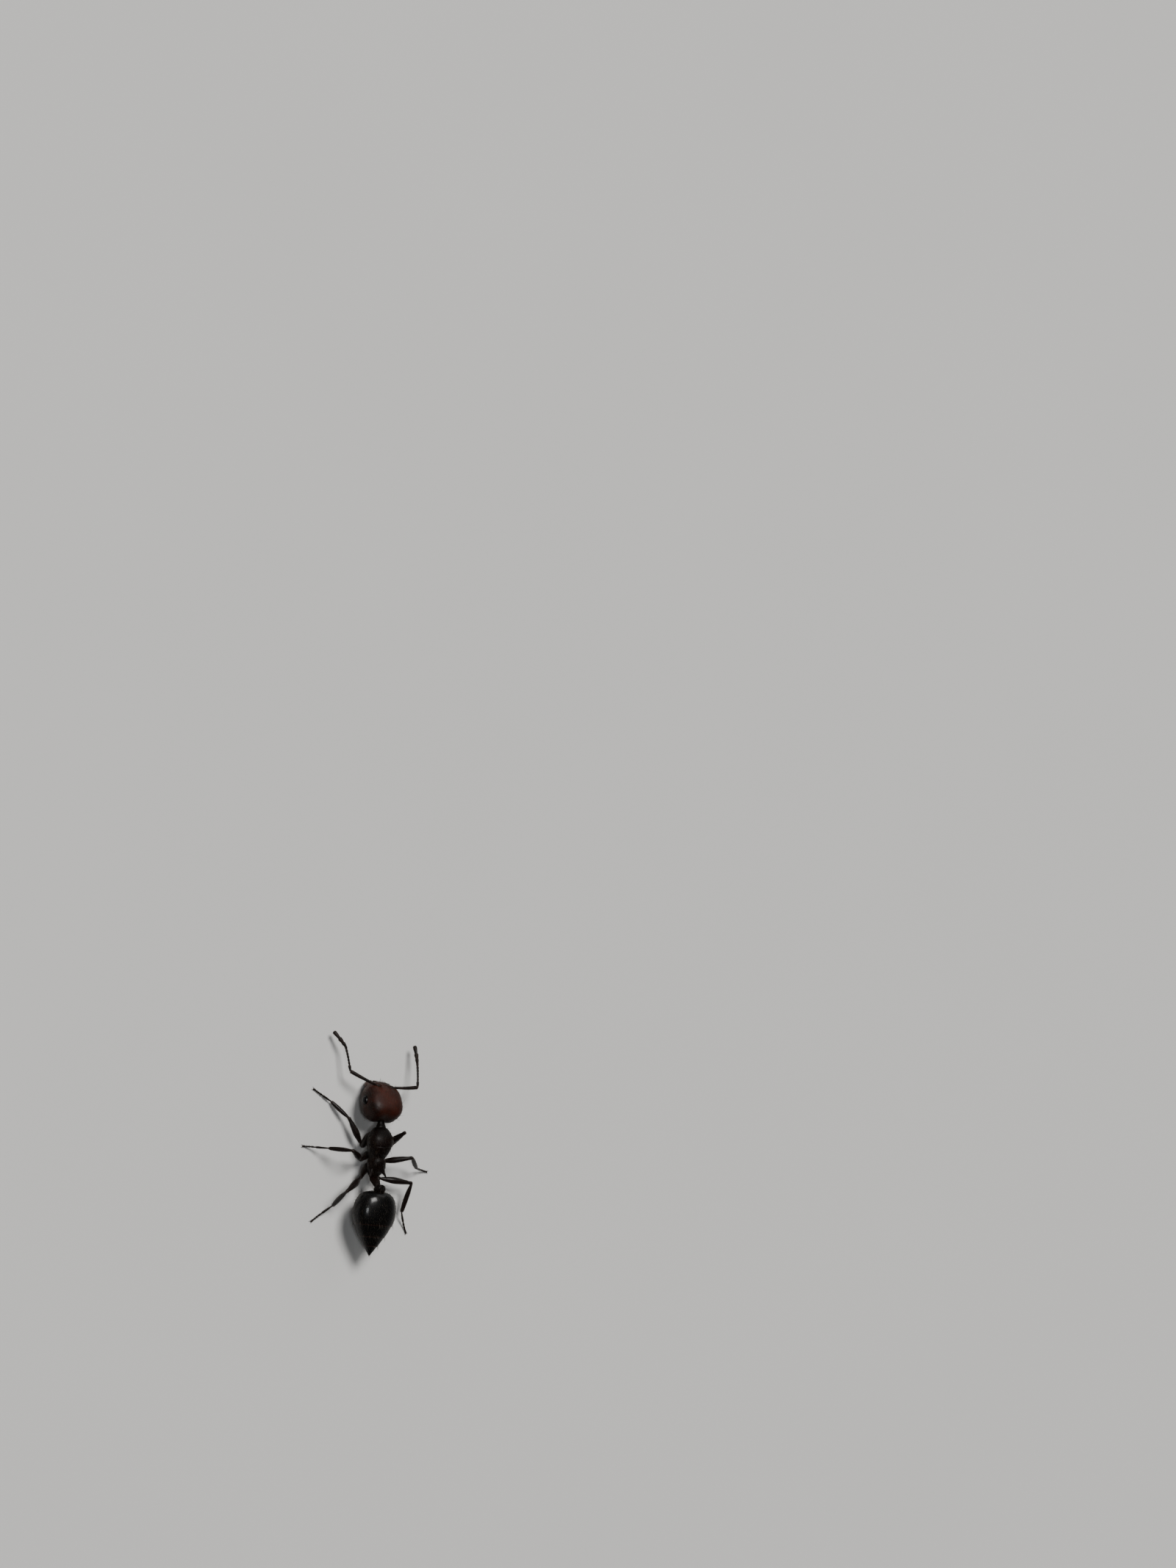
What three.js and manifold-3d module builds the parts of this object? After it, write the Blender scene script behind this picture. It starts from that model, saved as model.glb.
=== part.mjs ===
// A worker acrobat ant (Crematogaster) as a still, life-size model, in millimetres.
// It is built facing +Y with its right side on +X, then turned to face -Y, and its
// feet stand on z = 0. Legs and feelers are solids about half a millimetre thick.
import * as THREE from "three";
import { mergeVertices } from "three/addons/utils/BufferGeometryUtils.js";
import Module from "manifold-3d";

const wasm = await Module();
wasm.setup();

// ---- clearances -----------------------------------------------------------------
const GAP = 0.02; // air between two neighbouring solids
const SHORTEST_EDGE = 0.01; // cuts leave no edge shorter than this

// ---- driving sizes --------------------------------------------------------------
const HEAD = { length: 1.17, width: 1.18, top: 0.43, bottom: 0.4, pitch: 28, squareness: 3 };
const HEAD_CENTRE = new THREE.Vector3(0, 1.42, 0.67);
// Shares of the width and depth lost towards the head's front and rear.
const HEAD_TAPER = { front: 0.15, rear: 0.1, brow: 0.38, chin: 0.45 };
const HEAD_NOTCH = { depth: 0.05, halfWidth: 0.34 }; // the dent in the middle of its rear edge
const EYE = { length: 0.27, height: 0.21, bulge: 0.1, inset: 0.035, above: 0.07, turn: 8 };
// Seen from above: how far a mandible's base and tip lie from the middle line.
const MANDIBLE = { length: 0.34, outer: 0.4, inner: 0.1, tip: 0.03, thickness: 0.13, droop: 24 };
const TEETH = { count: 4, depth: 0.035, from: 0.36 }; // along the inner edge, from this share of it
const SPINE = { length: 0.24, base: 0.075, tip: 0.02, spread: 26, rise: 24 };
const SPINE_ROOT = { out: 0.2, y: -0.54, z: 0.83 };
const PETIOLE = { length: 0.42, width: 0.31, depth: 0.2 };
const POSTPETIOLE = { length: 0.27, width: 0.35, depth: 0.29, tilt: -32 };
const GROOVE = { depth: 0.05, halfWidth: 0.22 }; // along the top of the postpetiole
const GASTER = { length: 1.89, width: 1.31, top: 0.41, bottom: 0.58 };
const GASTER_FRONT = new THREE.Vector3(0, -1.08, 0.95);
const GASTER_DROP = 0.1; // how much lower the tip lies than the front

// Legs: lengths of femur with trochanter, tibia and tarsus, and where the hips are.
const LEGS = {
  fore: { coxa: [0.17, 0.45, 0.58], hip: [0.28, 0.12, 0.35], lengths: [0.95, 0.68, 0.64] },
  mid: { coxa: [0.15, -0.06, 0.54], hip: [0.28, -0.26, 0.36], lengths: [1.0, 0.7, 0.74] },
  hind: { coxa: [0.14, -0.4, 0.56], hip: [0.25, -0.72, 0.43], lengths: [1.12, 0.9, 0.74] },
};
// The stance, in degrees: each pair is the turn away from straight ahead and the rise.
const STANCE = {
  fore_left: { femur: [35, 0], tibia: [50, -20], tarsus: 62 },
  mid_left: { femur: [71, 41], tibia: [90, -47], tarsus: 91 },
  hind_left: { femur: [119, 33], tibia: [188, -60], tarsus: 134 },
  fore_right: { femur: [38, 45], tibia: [204, -45], tarsus: 55 },
  mid_right: { femur: [76, 32], tibia: [122, -40], tarsus: 97 },
  hind_right: { femur: [93, 8], tibia: [184, -19], tarsus: 147 },
};
const CLAW_HEIGHT = 0.03; // height of the tarsus's middle line at its claws
const FOOT = { radius: 0.21, lift: 0.17 }; // the solid tarsus and its middle line's lowest height
const COXA_RADIUS = { fore: 0.19, mid: 0.16, hind: 0.16 };
const FEMUR = { hip: 0.14, middle: 0.25, knee: 0.2 };
const TIBIA = { knee: 0.2, middle: 0.23, ankle: 0.2 };

// Feelers: scape, funiculus and club, each a length, a turn and a rise in degrees.
const SOCKET = new THREE.Vector3(0.17, 0.36, 0.3); // in the head's own frame
const FEELERS = {
  left: { scape: [0.98, 69, -12], funiculus: [0.72, 14, -9], club: [0.54, 40, -21] },
  right: { scape: [0.98, 85, -3], funiculus: [0.72, 3, -16], club: [0.52, -5, -19] },
};
const FEELER = { socket: 0.15, scape: 0.23, funiculus: 0.22, club: 0.25 };

// Trunk stations from the neck to the rear: y, top, bottom and half width.
const TRUNK = [
  [0.92, 0.84, 0.69, 0.09],
  [0.76, 0.9, 0.65, 0.14],
  [0.62, 1.0, 0.56, 0.28],
  [0.45, 1.09, 0.49, 0.38],
  [0.3, 1.12, 0.45, 0.4],
  [0.12, 1.11, 0.43, 0.34],
  [-0.04, 1.05, 0.42, 0.27],
  [-0.15, 0.965, 0.43, 0.24],
  [-0.26, 0.985, 0.45, 0.26],
  [-0.4, 0.965, 0.47, 0.275],
  [-0.53, 0.89, 0.51, 0.245],
  [-0.66, 0.78, 0.54, 0.17],
  [-0.75, 0.7, 0.57, 0.09],
];
const TRUNK_SEAMS = [0.16, -0.16]; // behind the pronotum, behind the mesonotum
// Gaster outline seen from above: share of the length, share of the half width.
const GASTER_OUTLINE = [
  [0, 0.24], [0.03, 0.57], [0.08, 0.78], [0.16, 0.92], [0.29, 1], [0.44, 0.97],
  [0.61, 0.76], [0.79, 0.45], [0.92, 0.19], [1, 0.03],
];
const GASTER_SEAMS = [0.52, 0.7, 0.84]; // where one plate ends and the next begins

// ---- colours ---------------------------------------------------------------------
const FINISHES = {
  head: { color: 0x4c2218, roughness: 0.38 },
  mandible: { color: 0x5a2c18, roughness: 0.4 },
  eye: { color: 0x0b0a0c, roughness: 0.3 },
  antenna: { color: 0x2c1c18, roughness: 0.5 },
  trunk: { color: 0x17110f, roughness: 0.42 },
  gaster: { color: 0x0c0a0a, roughness: 0.22 },
  leg: { color: 0x1e1512, roughness: 0.45 },
};

// ---- small tools -----------------------------------------------------------------
const rad = THREE.MathUtils.degToRad;
const clamp = THREE.MathUtils.clamp;
const signedPower = (v, e) => Math.sign(v) * Math.abs(v) ** e;

// A unit vector turned away from straight ahead towards one side (1 right, -1 left).
function heading(side, turn, rise) {
  const flat = Math.cos(rad(rise));
  const ahead = Math.cos(rad(turn)) * flat;
  return new THREE.Vector3(side * Math.sin(rad(turn)) * flat, ahead, Math.sin(rad(rise)));
}

// Smooth curve through [place, value] rows, read at one place.
function smoothTable(rows, place) {
  let i = 0;
  while (i < rows.length - 2 && place > rows[i + 1][0]) i++;
  const slope = (k) => {
    const a = rows[Math.max(k - 1, 0)];
    const b = rows[Math.min(k + 1, rows.length - 1)];
    return (b[1] - a[1]) / (b[0] - a[0]);
  };
  const [x0, y0] = rows[i];
  const [x1, y1] = rows[i + 1];
  const t = clamp((place - x0) / (x1 - x0), 0, 1);
  const h = x1 - x0;
  const start = y0 * (1 + 2 * t) * (1 - t) ** 2 + slope(i) * h * t * (1 - t) ** 2;
  const end = y1 * t ** 2 * (3 - 2 * t) - slope(i + 1) * h * t ** 2 * (1 - t);
  return start + end;
}

// Moves every vertex of a geometry by a function of its old place.
function reshape(geometry, move) {
  const at = geometry.attributes.position;
  const p = new THREE.Vector3();
  for (let i = 0; i < at.count; i++) {
    p.fromBufferAttribute(at, i);
    const q = move(p.clone());
    at.setXYZ(i, q.x, q.y, q.z);
  }
  return geometry;
}

function welded(geometry) {
  const bare = geometry.clone();
  bare.deleteAttribute("normal");
  bare.deleteAttribute("uv");
  return mergeVertices(bare, 1e-5);
}

function solid(geometry) {
  const closed = welded(geometry);
  return new wasm.Manifold(
    new wasm.Mesh({
      numProp: 3,
      vertProperties: closed.attributes.position.array,
      triVerts: new Uint32Array(closed.index.array),
    }),
  );
}

// The same shape, larger by a skin of even thickness.
function grown(geometry, by) {
  const closed = welded(geometry);
  closed.computeVertexNormals();
  const normals = closed.attributes.normal;
  const at = closed.attributes.position;
  for (let i = 0; i < at.count; i++)
    at.setXYZ(
      i,
      at.getX(i) + normals.getX(i) * by,
      at.getY(i) + normals.getY(i) * by,
      at.getZ(i) + normals.getZ(i) * by,
    );
  return solid(closed);
}

function geometryOf(body) {
  const mesh = body.getMesh();
  const places = new Float32Array(mesh.numVert * 3);
  for (let i = 0; i < mesh.numVert; i++)
    places.set(mesh.vertProperties.subarray(i * mesh.numProp, i * mesh.numProp + 3), i * 3);
  const geometry = new THREE.BufferGeometry();
  geometry.setAttribute("position", new THREE.BufferAttribute(places, 3));
  geometry.setIndex(new THREE.BufferAttribute(new Uint32Array(mesh.triVerts), 1));
  geometry.computeVertexNormals();
  return geometry;
}

function largestPart(body) {
  return body.decompose().reduce((a, b) => (a.volume() > b.volume() ? a : b));
}

const shells = new Map(); // each finished solid, grown by the clearance

// Adds one named piece: cut clear of the pieces named in clear, and trimmed by planes.
function addPiece(group, name, finish, geometry, { clear = [], planes = [], origin } = {}) {
  let body = solid(geometry);
  let shell = grown(geometry, GAP);
  for (const other of clear) body = body.subtract(shells.get(other));
  for (const [normal, offset] of planes) {
    body = body.trimByPlane(normal.toArray(), offset);
    shell = shell.trimByPlane(normal.toArray(), offset - GAP);
  }
  body = largestPart(largestPart(body).simplify(SHORTEST_EDGE));
  const place = origin ?? new THREE.Vector3();
  const shape = geometryOf(body).translate(-place.x, -place.y, -place.z);
  const mesh = new THREE.Mesh(shape, new THREE.MeshStandardMaterial(FINISHES[finish]));
  mesh.name = name;
  mesh.position.copy(place);
  group.add(mesh);
  shells.set(name, shell);
}

// A round bar along a curve with ball ends: a lathe, bent onto the curve.
function bar(curve, radiusAt, rings, sides) {
  const capRows = 2;
  const length = curve.getLength();
  const profile = [];
  for (let i = 0; i < capRows; i++) {
    const a = (i / capRows) * (Math.PI / 2);
    profile.push(new THREE.Vector2(radiusAt(0) * Math.sin(a), -radiusAt(0) * Math.cos(a)));
  }
  for (let i = 0; i <= rings; i++)
    profile.push(new THREE.Vector2(radiusAt(i / rings), (length * i) / rings));
  for (let i = capRows - 1; i >= 0; i--) {
    const a = (i / capRows) * (Math.PI / 2);
    profile.push(new THREE.Vector2(radiusAt(1) * Math.sin(a), length + radiusAt(1) * Math.cos(a)));
  }
  const frames = curve.computeFrenetFrames(rings);
  return reshape(new THREE.LatheGeometry(profile, sides), (p) => {
    const share = clamp(p.y / length, 0, 1);
    const k = Math.round(share * rings);
    const past = p.y - share * length;
    return curve
      .getPointAt(share)
      .addScaledVector(frames.tangents[k], past)
      .addScaledVector(frames.normals[k], p.z)
      .addScaledVector(frames.binormals[k], p.x);
  });
}

// Radius that runs from one end to the other with a swelling between them.
function swelling(start, middle, end) {
  return (t) => start + (end - start) * t + (middle - (start + end) / 2) * Math.sin(Math.PI * t) ** 1.4;
}

// The two planes that part two bars at their joint, half the clearance from the mitre.
function mitre(joint, before, after) {
  const normal = before.clone().add(after).normalize();
  const offset = joint.dot(normal);
  return {
    first: [normal.clone().negate(), -(offset - GAP / 2)],
    second: [normal, offset + GAP / 2],
  };
}

// ---- head -------------------------------------------------------------------------
const headTurn = new THREE.Matrix4()
  .makeRotationX(-rad(HEAD.pitch))
  .setPosition(HEAD_CENTRE);

function headShape(p) {
  const n = HEAD.squareness;
  const q = p.divideScalar((Math.abs(p.x) ** n + Math.abs(p.y) ** n + Math.abs(p.z) ** n) ** (1 / n));
  const widest = -0.25; // share of the half length, behind the middle
  const ahead = Math.max(0, (q.y - widest) / (1 - widest));
  const behind = Math.max(0, (widest - q.y) / (1 + widest));
  const front = Math.max(0, q.y);
  const taper = 1 - HEAD_TAPER.front * ahead ** 2 - HEAD_TAPER.rear * behind ** 2;
  const above = HEAD.top * (1 - HEAD_TAPER.brow * front ** 2);
  const below = HEAD.bottom * (1 - HEAD_TAPER.chin * front ** 2);
  const x = (q.x * HEAD.width * taper) / 2;
  const inNotch = q.y < 0 ? Math.max(0, 1 - (x / HEAD_NOTCH.halfWidth) ** 2) ** 2 : 0;
  const y = (q.y * HEAD.length) / 2 + HEAD_NOTCH.depth * inNotch * q.y ** 2;
  return new THREE.Vector3(x, y, q.z * (q.z > 0 ? above : below));
}

function headGeometry() {
  const ball = new THREE.SphereGeometry(1, 24, 16);
  return reshape(ball, headShape).applyMatrix4(headTurn);
}

function eyeGeometry(side) {
  const ball = new THREE.SphereGeometry(1, 14, 8);
  ball.scale(EYE.bulge, EYE.length / 2, EYE.height / 2);
  ball.rotateZ(side * rad(EYE.turn));
  ball.translate(side * (HEAD.width / 2 - EYE.inset), 0, EYE.above);
  return ball.applyMatrix4(headTurn);
}

// A blade with a curved outer edge and teeth along the inner one.
function mandibleGeometry(side) {
  const { length, outer, inner, tip, thickness, droop } = MANDIBLE;
  const root = -0.06; // behind the head's front edge
  const toothPlace = (i) => length * THREE.MathUtils.lerp(1, TEETH.from, i / (TEETH.count - 1));
  const blade = new THREE.Shape();
  blade.moveTo(side * outer, root);
  blade.quadraticCurveTo(side * outer, length * 0.75, side * tip, length);
  for (let i = 1; i < TEETH.count; i++) {
    blade.lineTo(side * (tip + TEETH.depth), toothPlace(i - 0.5));
    blade.lineTo(side * tip, toothPlace(i));
  }
  blade.lineTo(side * inner, root);
  const plate = new THREE.ExtrudeGeometry(blade, {
    depth: thickness, bevelEnabled: false, curveSegments: 5,
  });
  plate.translate(0, 0, -thickness / 2);
  plate.rotateX(-rad(droop));
  plate.translate(0, HEAD.length / 2 + root, -HEAD.bottom / 4);
  return plate.applyMatrix4(headTurn);
}

// ---- trunk -------------------------------------------------------------------------
function trunkGeometry() {
  const first = TRUNK[0][0];
  const last = TRUNK[TRUNK.length - 1][0];
  const rows = TRUNK.map(([y, ...rest]) => [first - y, ...rest]);
  const read = (column, along) => smoothTable(rows.map((row) => [row[0], row[column]]), along);
  const rings = 26;
  const profile = [new THREE.Vector2(0, 0)];
  for (let i = 0; i <= rings; i++) profile.push(new THREE.Vector2(1, i / rings));
  profile.push(new THREE.Vector2(0, 1));
  const tube = new THREE.LatheGeometry(profile, 20);
  return reshape(tube, (p) => {
    const along = (first - last) * p.y;
    const top = read(1, along);
    const bottom = read(2, along);
    const halfWidth = read(3, along);
    const middle = THREE.MathUtils.lerp(bottom, top, 0.55);
    const radius = Math.hypot(p.x, p.z);
    const up = radius > 0 ? p.z / radius : 0;
    const out = radius > 0 ? p.x / radius : 0;
    const rise = signedPower(up, 0.92) * (up > 0 ? top - middle : middle - bottom);
    const narrow = up < 0 ? 1 + 0.2 * up : 1;
    const x = signedPower(out, 0.9) * halfWidth * narrow;
    return new THREE.Vector3(-x * radius, first - along, middle + rise * radius);
  });
}

// ---- waist and gaster -----------------------------------------------------------------
const petioleFoot = new THREE.Vector3(0, -0.68, 0.63);
const petioleHead = new THREE.Vector3(0, -0.95, 0.93);
const postpetioleCentre = new THREE.Vector3(0, -1.03, 1.06);

// A frame whose Y runs from one point to another and whose X stays level.
function alongFrame(from, to) {
  const y = to.clone().sub(from).normalize();
  const x = new THREE.Vector3(-1, 0, 0);
  const z = new THREE.Vector3().crossVectors(x, y);
  return new THREE.Matrix4().makeBasis(x, y, z).setPosition(from.clone().lerp(to, 0.5));
}

function petioleGeometry() {
  const ball = new THREE.SphereGeometry(1, 14, 10);
  reshape(ball, (p) => {
    const along = p.y;
    const wide = (PETIOLE.width / 2) * (1 - 0.28 * along);
    return new THREE.Vector3(
      signedPower(p.x, 0.85) * wide * 0.92,
      (signedPower(p.y, 0.85) * PETIOLE.length) / 2,
      (p.z * PETIOLE.depth) / 2,
    );
  });
  return ball.applyMatrix4(alongFrame(petioleFoot, petioleHead));
}

function postpetioleGeometry() {
  const ball = new THREE.SphereGeometry(1, 16, 10);
  reshape(ball, (p) => {
    const groove = p.z > 0 ? GROOVE.depth * Math.exp(-((p.x / GROOVE.halfWidth) ** 2)) * p.z : 0;
    return new THREE.Vector3(
      (p.x * POSTPETIOLE.width) / 2,
      (p.y * POSTPETIOLE.length) / 2,
      (p.z * POSTPETIOLE.depth) / 2 - groove,
    );
  });
  ball.rotateX(rad(POSTPETIOLE.tilt));
  return ball.translate(...postpetioleCentre.toArray());
}

function gasterGeometry() {
  const rings = 20;
  const profile = [new THREE.Vector2(0, 0)];
  for (let i = 0; i <= rings; i++) profile.push(new THREE.Vector2(1, (i / rings) ** 1.35));
  profile.push(new THREE.Vector2(0, 1));
  const tube = new THREE.LatheGeometry(profile, 24);
  return reshape(tube, (p) => {
    const share = smoothTable(GASTER_OUTLINE, p.y);
    const radius = Math.hypot(p.x, p.z);
    const up = radius > 0 ? p.z / radius : 0;
    const out = radius > 0 ? p.x / radius : 0;
    const height = up > 0 ? GASTER.top * share ** 0.85 : GASTER.bottom * share;
    const sag = GASTER_DROP * p.y;
    return GASTER_FRONT.clone().add(
      new THREE.Vector3(
        -out * (GASTER.width / 2) * share * radius,
        -GASTER.length * p.y,
        up * height * radius - sag,
      ),
    );
  });
}

// ---- limbs -----------------------------------------------------------------------------
// Joints of one leg: its middle line, with the tarsus's claws on the floor.
function legJoints(pair, sideName) {
  const side = sideName === "right" ? 1 : -1;
  const { coxa, hip, lengths } = LEGS[pair];
  const stance = STANCE[pair + "_" + sideName];
  const top = new THREE.Vector3(side * coxa[0], coxa[1], coxa[2]);
  const start = new THREE.Vector3(side * hip[0], hip[1], hip[2]);
  const knee = start.clone().addScaledVector(heading(side, ...stance.femur), lengths[0]);
  const ankle = knee.clone().addScaledVector(heading(side, ...stance.tibia), lengths[1]);
  const fall = Math.asin((ankle.z - CLAW_HEIGHT) / lengths[2]);
  const drop = -THREE.MathUtils.radToDeg(fall);
  const claws = ankle.clone().addScaledVector(heading(side, stance.tarsus, drop), lengths[2]);
  return [top, start, knee, ankle, claws].map(
    (p) => new THREE.Vector3(p.x, p.y, Math.hypot(p.z, FOOT.lift)),
  );
}

const straight = (a, b) => new THREE.LineCurve3(a, b);

// A curve that leaves a joint steeply and flattens towards the floor.
function tarsusCurve(ankle, claws) {
  const bend = ankle.clone().lerp(claws, 0.55);
  bend.z = THREE.MathUtils.lerp(ankle.z, claws.z, 0.8);
  return new THREE.QuadraticBezierCurve3(ankle, bend, claws);
}

const floorPlane = [new THREE.Vector3(0, 0, 1), 0];

function addLeg(group, pair, sideName, trunkNames, earlier) {
  const side = sideName === "right" ? 1 : -1;
  const [top, hip, knee, ankle, claws] = legJoints(pair, sideName);
  const name = (piece) => pair + "_" + sideName + "_" + piece;
  const thigh = knee.clone().sub(hip).normalize();
  const shin = ankle.clone().sub(knee).normalize();
  const sole = tarsusCurve(ankle, claws);
  const kneePlanes = mitre(knee, thigh, shin);
  const anklePlanes = mitre(ankle, shin, sole.getTangentAt(0));
  const coxaEnd = COXA_RADIUS[pair];
  const midline = [new THREE.Vector3(side, 0, 0), GAP / 2];

  addPiece(
    group, name("coxa"), "leg",
    bar(straight(top, hip), swelling(coxaEnd, coxaEnd, coxaEnd * 0.75), 3, 10),
    { clear: [...trunkNames, ...earlier], planes: [midline], origin: top },
  );
  const near = [...trunkNames, ...earlier, name("coxa")];
  addPiece(
    group, name("femur"), "leg",
    bar(straight(hip, knee), swelling(FEMUR.hip, FEMUR.middle, FEMUR.knee), 6, 10),
    { clear: near, planes: [kneePlanes.first], origin: hip },
  );
  addPiece(
    group, name("tibia"), "leg",
    bar(straight(knee, ankle), swelling(TIBIA.knee, TIBIA.middle, TIBIA.ankle), 5, 10),
    { clear: near, planes: [kneePlanes.second, anklePlanes.first, floorPlane], origin: knee },
  );
  addPiece(
    group, name("tarsus"), "leg",
    bar(sole, () => FOOT.radius, 5, 10),
    {
      clear: [...near, name("femur")],
      planes: [anklePlanes.second, floorPlane],
      origin: ankle,
    },
  );
}

function addFeeler(group, sideName) {
  const side = sideName === "right" ? 1 : -1;
  const stance = FEELERS[sideName];
  const root = SOCKET.clone().multiply(new THREE.Vector3(side, 1, 1)).applyMatrix4(headTurn);
  const reach = (from, [length, turn, rise]) =>
    from.clone().addScaledVector(heading(side, turn, rise), length);
  const elbow = reach(root, stance.scape);
  const clubStart = reach(elbow, stance.funiculus);
  const tip = reach(clubStart, stance.club);
  const along = (a, b) => b.clone().sub(a).normalize();
  const elbowPlanes = mitre(elbow, along(root, elbow), along(elbow, clubStart));
  const clubPlanes = mitre(clubStart, along(elbow, clubStart), along(clubStart, tip));
  const clear = ["head"];
  const name = (piece) => "antenna_" + sideName + "_" + piece;
  addPiece(
    group, name("scape"), "antenna",
    bar(straight(root, elbow), swelling(FEELER.socket, FEELER.scape, FEELER.scape), 5, 10),
    { clear, planes: [elbowPlanes.first], origin: root },
  );
  addPiece(
    group, name("funiculus"), "antenna",
    bar(straight(elbow, clubStart), swelling(FEELER.scape, FEELER.funiculus, FEELER.funiculus), 4, 10),
    { clear, planes: [elbowPlanes.second, clubPlanes.first], origin: elbow },
  );
  addPiece(
    group, name("club"), "antenna",
    bar(straight(clubStart, tip), swelling(FEELER.funiculus, FEELER.club, FEELER.club * 0.7), 4, 10),
    { clear, planes: [clubPlanes.second], origin: clubStart },
  );
}

function spineGeometry(side) {
  const length = SPINE.length;
  const cone = new THREE.LatheGeometry(
    [
      new THREE.Vector2(0, -length / 3),
      new THREE.Vector2(SPINE.base, -length / 4),
      new THREE.Vector2(SPINE.base * 0.72, length * 0.4),
      new THREE.Vector2(SPINE.tip, length * 0.94),
      new THREE.Vector2(0, length),
    ],
    10,
  );
  const aim = heading(side, 180 - SPINE.spread, SPINE.rise);
  cone.applyQuaternion(new THREE.Quaternion().setFromUnitVectors(new THREE.Vector3(0, 1, 0), aim));
  return cone.translate(side * SPINE_ROOT.out, SPINE_ROOT.y, SPINE_ROOT.z);
}

// ---- the whole ant -------------------------------------------------------------------
const ant = new THREE.Group();

function addHead() {
  const group = new THREE.Group();
  ant.add(group);
  addPiece(group, "eye_left", "eye", eyeGeometry(-1));
  addPiece(group, "eye_right", "eye", eyeGeometry(1));
  addPiece(group, "head", "head", headGeometry(), { clear: ["eye_left", "eye_right"] });
  for (const [name, side] of [["left", -1], ["right", 1]])
    addPiece(group, "mandible_" + name, "mandible", mandibleGeometry(side), {
      clear: ["head"],
      planes: [[new THREE.Vector3(side, 0, 0), GAP / 2]],
    });
  for (const name of ["left", "right"]) addFeeler(group, name);
}

function addTrunk() {
  const group = new THREE.Group();
  ant.add(group);
  const ahead = new THREE.Vector3(0, 1, 0);
  const back = new THREE.Vector3(0, -1, 0);
  const [first, second] = TRUNK_SEAMS;
  addPiece(group, "pronotum", "trunk", trunkGeometry(), {
    clear: ["head"],
    planes: [[ahead, first + GAP / 2]],
  });
  addPiece(group, "mesonotum", "trunk", trunkGeometry(), {
    planes: [[back, -(first - GAP / 2)], [ahead, second + GAP / 2]],
  });
  addPiece(group, "propodeum", "trunk", trunkGeometry(), {
    planes: [[back, -(second - GAP / 2)]],
  });
  for (const [name, side] of [["left", -1], ["right", 1]])
    addPiece(group, "propodeal_spine_" + name, "trunk", spineGeometry(side), {
      clear: ["propodeum"],
    });
}

function addWaist() {
  const group = new THREE.Group();
  ant.add(group);
  addPiece(group, "petiole", "trunk", petioleGeometry(), { clear: ["propodeum"] });
  addPiece(group, "postpetiole", "trunk", postpetioleGeometry(), { clear: ["petiole"] });
}

function addGaster() {
  const group = new THREE.Group();
  ant.add(group);
  const edges = [-1, ...GASTER_SEAMS, 2];
  for (let i = 0; i + 1 < edges.length; i++) {
    const planes = [];
    const place = (share) => GASTER_FRONT.y - GASTER.length * share;
    if (i > 0) planes.push([new THREE.Vector3(0, -1, 0), -(place(edges[i]) - GAP / 2)]);
    if (i + 2 < edges.length) planes.push([new THREE.Vector3(0, 1, 0), place(edges[i + 1]) + GAP / 2]);
    const clear = i === 0 ? ["petiole", "postpetiole"] : [];
    addPiece(group, "gaster_" + (i + 1), "gaster", gasterGeometry(), { clear, planes });
  }
}

function addLegs() {
  const trunkNames = ["head", "pronotum", "mesonotum", "propodeum", "petiole", "gaster_1"];
  const earlier = [];
  for (const pair of Object.keys(LEGS))
    for (const sideName of ["left", "right"]) {
      const group = new THREE.Group();
      ant.add(group);
      addLeg(group, pair, sideName, trunkNames, earlier);
      for (const piece of ["coxa", "femur", "tibia", "tarsus"])
        earlier.push(pair + "_" + sideName + "_" + piece);
    }
}

addHead();
addTrunk();
addWaist();
addGaster();
addLegs();

ant.rotation.z = Math.PI; // faces -Y
const model = new THREE.Group();
model.add(ant);
model.updateMatrixWorld(true);
const box = new THREE.Box3().setFromObject(model, true);
const centre = box.getCenter(new THREE.Vector3());
ant.position.set(-centre.x, -centre.y, 0);

export default model;
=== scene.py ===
"""A worker acrobat ant, life size, standing on a pale floor.

Every shape is worked out in the ant's own millimetres, as (right, ahead, up) from a point
on the floor below the middle of its trunk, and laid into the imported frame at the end.
"""

import math

import bmesh
import bpy
import numpy as np
from mathutils import Matrix, Vector


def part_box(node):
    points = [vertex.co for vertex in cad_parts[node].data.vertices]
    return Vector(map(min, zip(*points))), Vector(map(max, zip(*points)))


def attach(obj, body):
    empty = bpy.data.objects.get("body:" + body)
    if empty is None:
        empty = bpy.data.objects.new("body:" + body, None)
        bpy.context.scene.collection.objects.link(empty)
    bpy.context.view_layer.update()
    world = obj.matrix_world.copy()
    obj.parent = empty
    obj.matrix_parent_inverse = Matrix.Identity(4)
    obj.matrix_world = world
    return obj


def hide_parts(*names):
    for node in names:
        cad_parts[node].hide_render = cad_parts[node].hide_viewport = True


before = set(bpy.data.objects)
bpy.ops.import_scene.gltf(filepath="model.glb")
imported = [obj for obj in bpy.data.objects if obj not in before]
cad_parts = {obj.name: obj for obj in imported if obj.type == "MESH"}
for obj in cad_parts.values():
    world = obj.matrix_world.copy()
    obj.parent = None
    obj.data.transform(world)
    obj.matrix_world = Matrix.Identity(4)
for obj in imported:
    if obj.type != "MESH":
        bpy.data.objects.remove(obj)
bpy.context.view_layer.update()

# ---- where the ant stands in the frame ----
MM = 0.001
TRUNK_LOW, TRUNK_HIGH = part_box("mesonotum")
TRUNK_MIDDLE = (TRUNK_LOW + TRUNK_HIGH) / 2
FRAME_ZERO = np.array([TRUNK_MIDDLE.x, TRUNK_MIDDLE.y, 0.0])
FRAME_TURN = np.array([-MM, -MM, MM])  # the ant faces -Y, so its right is -X
SIDES = dict(left=-1, right=1)
rng = np.random.default_rng(7)

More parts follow.
